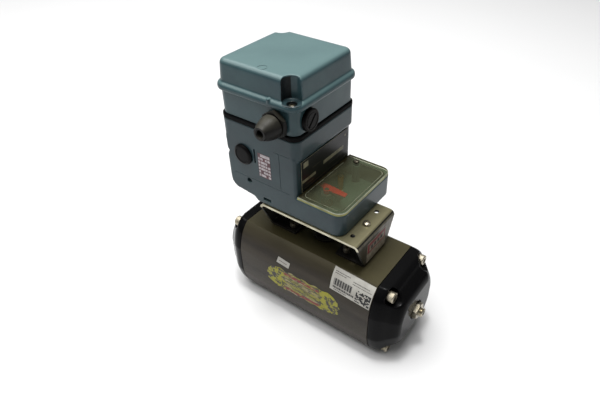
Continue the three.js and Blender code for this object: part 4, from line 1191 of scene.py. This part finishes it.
def bracket_label():
    """A worn red-framed sticker on the bracket's leg, with plain bars in place of print."""
    leg_base = bracket_low.z - PLATE
    corners = rectangle(-21, 21, leg_base + 4, leg_base + 33)
    first, second, third = (lifted(on_leg, lift, 0, 0) for lift in (0.05, 0.1, 0.15))
    parts = [(0, patch(corners, 2, 2, on_leg)),
             (1, patch(corners, 2, 2, first, (0.03, 0.97, 0.45, 0.95))),
             (0, patch(corners, 2, 2, second, (0.12, 0.9, 0.52, 0.8)))]
    for k in range(4):
        u = 0.2 + k * 0.17
        parts.append((2, patch(corners, 1, 1, third, (u, u + 0.1, 0.58, 0.76))))
    return joined(parts)


piece("bracket_label", bracket_label(), [label_tan, label_red, print_black], "plate_print")


# ---- carried-over CAD nodes ----
CARRIED = {
    "upper_bush": bronze, "lower_bush": bronze, "shaft_bush": bronze, "thrust_washer": grey_plastic,
    "retaining_ring": dark_steel, "pinion_shaft": dark_steel, "piston_right": aluminium,
    "piston_left": aluminium, "piston_seal_right": rubber, "piston_seal_left": rubber,
    "current_converter": aluminium, "pilot_relay": green_plastic, "terminal_block": grey_plastic,
    "gland_seal": rubber,
}
for node, material in CARRIED.items():
    mesh = frame["nodes"][node].data
    mesh.materials.clear()
    mesh.materials.append(material)


# ---- stage, light and camera ----
def floor():
    """A wide pale floor under the object."""
    bm = bmesh.new()
    bmesh.ops.create_grid(bm, x_segments=8, y_segments=8, size=6)
    mesh = filled("floor", bm)
    g = Graph("floor")
    colours = g.mix(g.noise(3), (0.84, 0.84, 0.84), (0.82, 0.82, 0.82))
    g.surface(Base_Color=colours, Roughness=0.9)
    mesh.materials.append(g.material)
    obj = linked("floor", mesh)


floor()


def area_light(name, at, aim, size, power):
    """A square white lamp, placed in metres and turned to what it lights."""
    light = bpy.data.lights.new(name, "AREA")
    light.shape = "RECTANGLE"
    light.size = light.size_y = size
    light.energy = power
    obj = linked(name, light)
    obj.location = at
    obj.rotation_euler = (Vector(aim) - Vector(at)).to_track_quat("-Z", "Y").to_euler()


area_light("overhead", (-0.75, 0.0, 2.6), (0, 0, 0.15), 3.0, 100)
area_light("front", (-1.0, -1.7, 1.3), (0, 0, 0.15), 0.8, 2)
area_light("glint", (0.0, -0.05, 1.6), (0, 0, 0.2), 0.2, 9)

world = bpy.data.worlds.new("studio")
world.use_nodes = True
background = world.node_tree.nodes["Background"].inputs
background["Color"].default_value = (1, 1, 1, 1)
background["Strength"].default_value = 0.18
bpy.context.scene.world = world
bpy.context.scene.view_settings.view_transform = "Standard"

camera = linked("camera", bpy.data.cameras.new("camera"))
camera.data.lens = FOCAL_LENGTH
camera.data.shift_x, camera.data.shift_y = LENS_SHIFT
camera.data.clip_end = 20
camera.matrix_world = (
    move_by(*(Vector(CAMERA_AT) * MM)) @ turn_by(YAW - 90) @ turn_by(90 - PITCH, "X") @ turn_by(ROLL)
)
bpy.context.scene.camera = camera
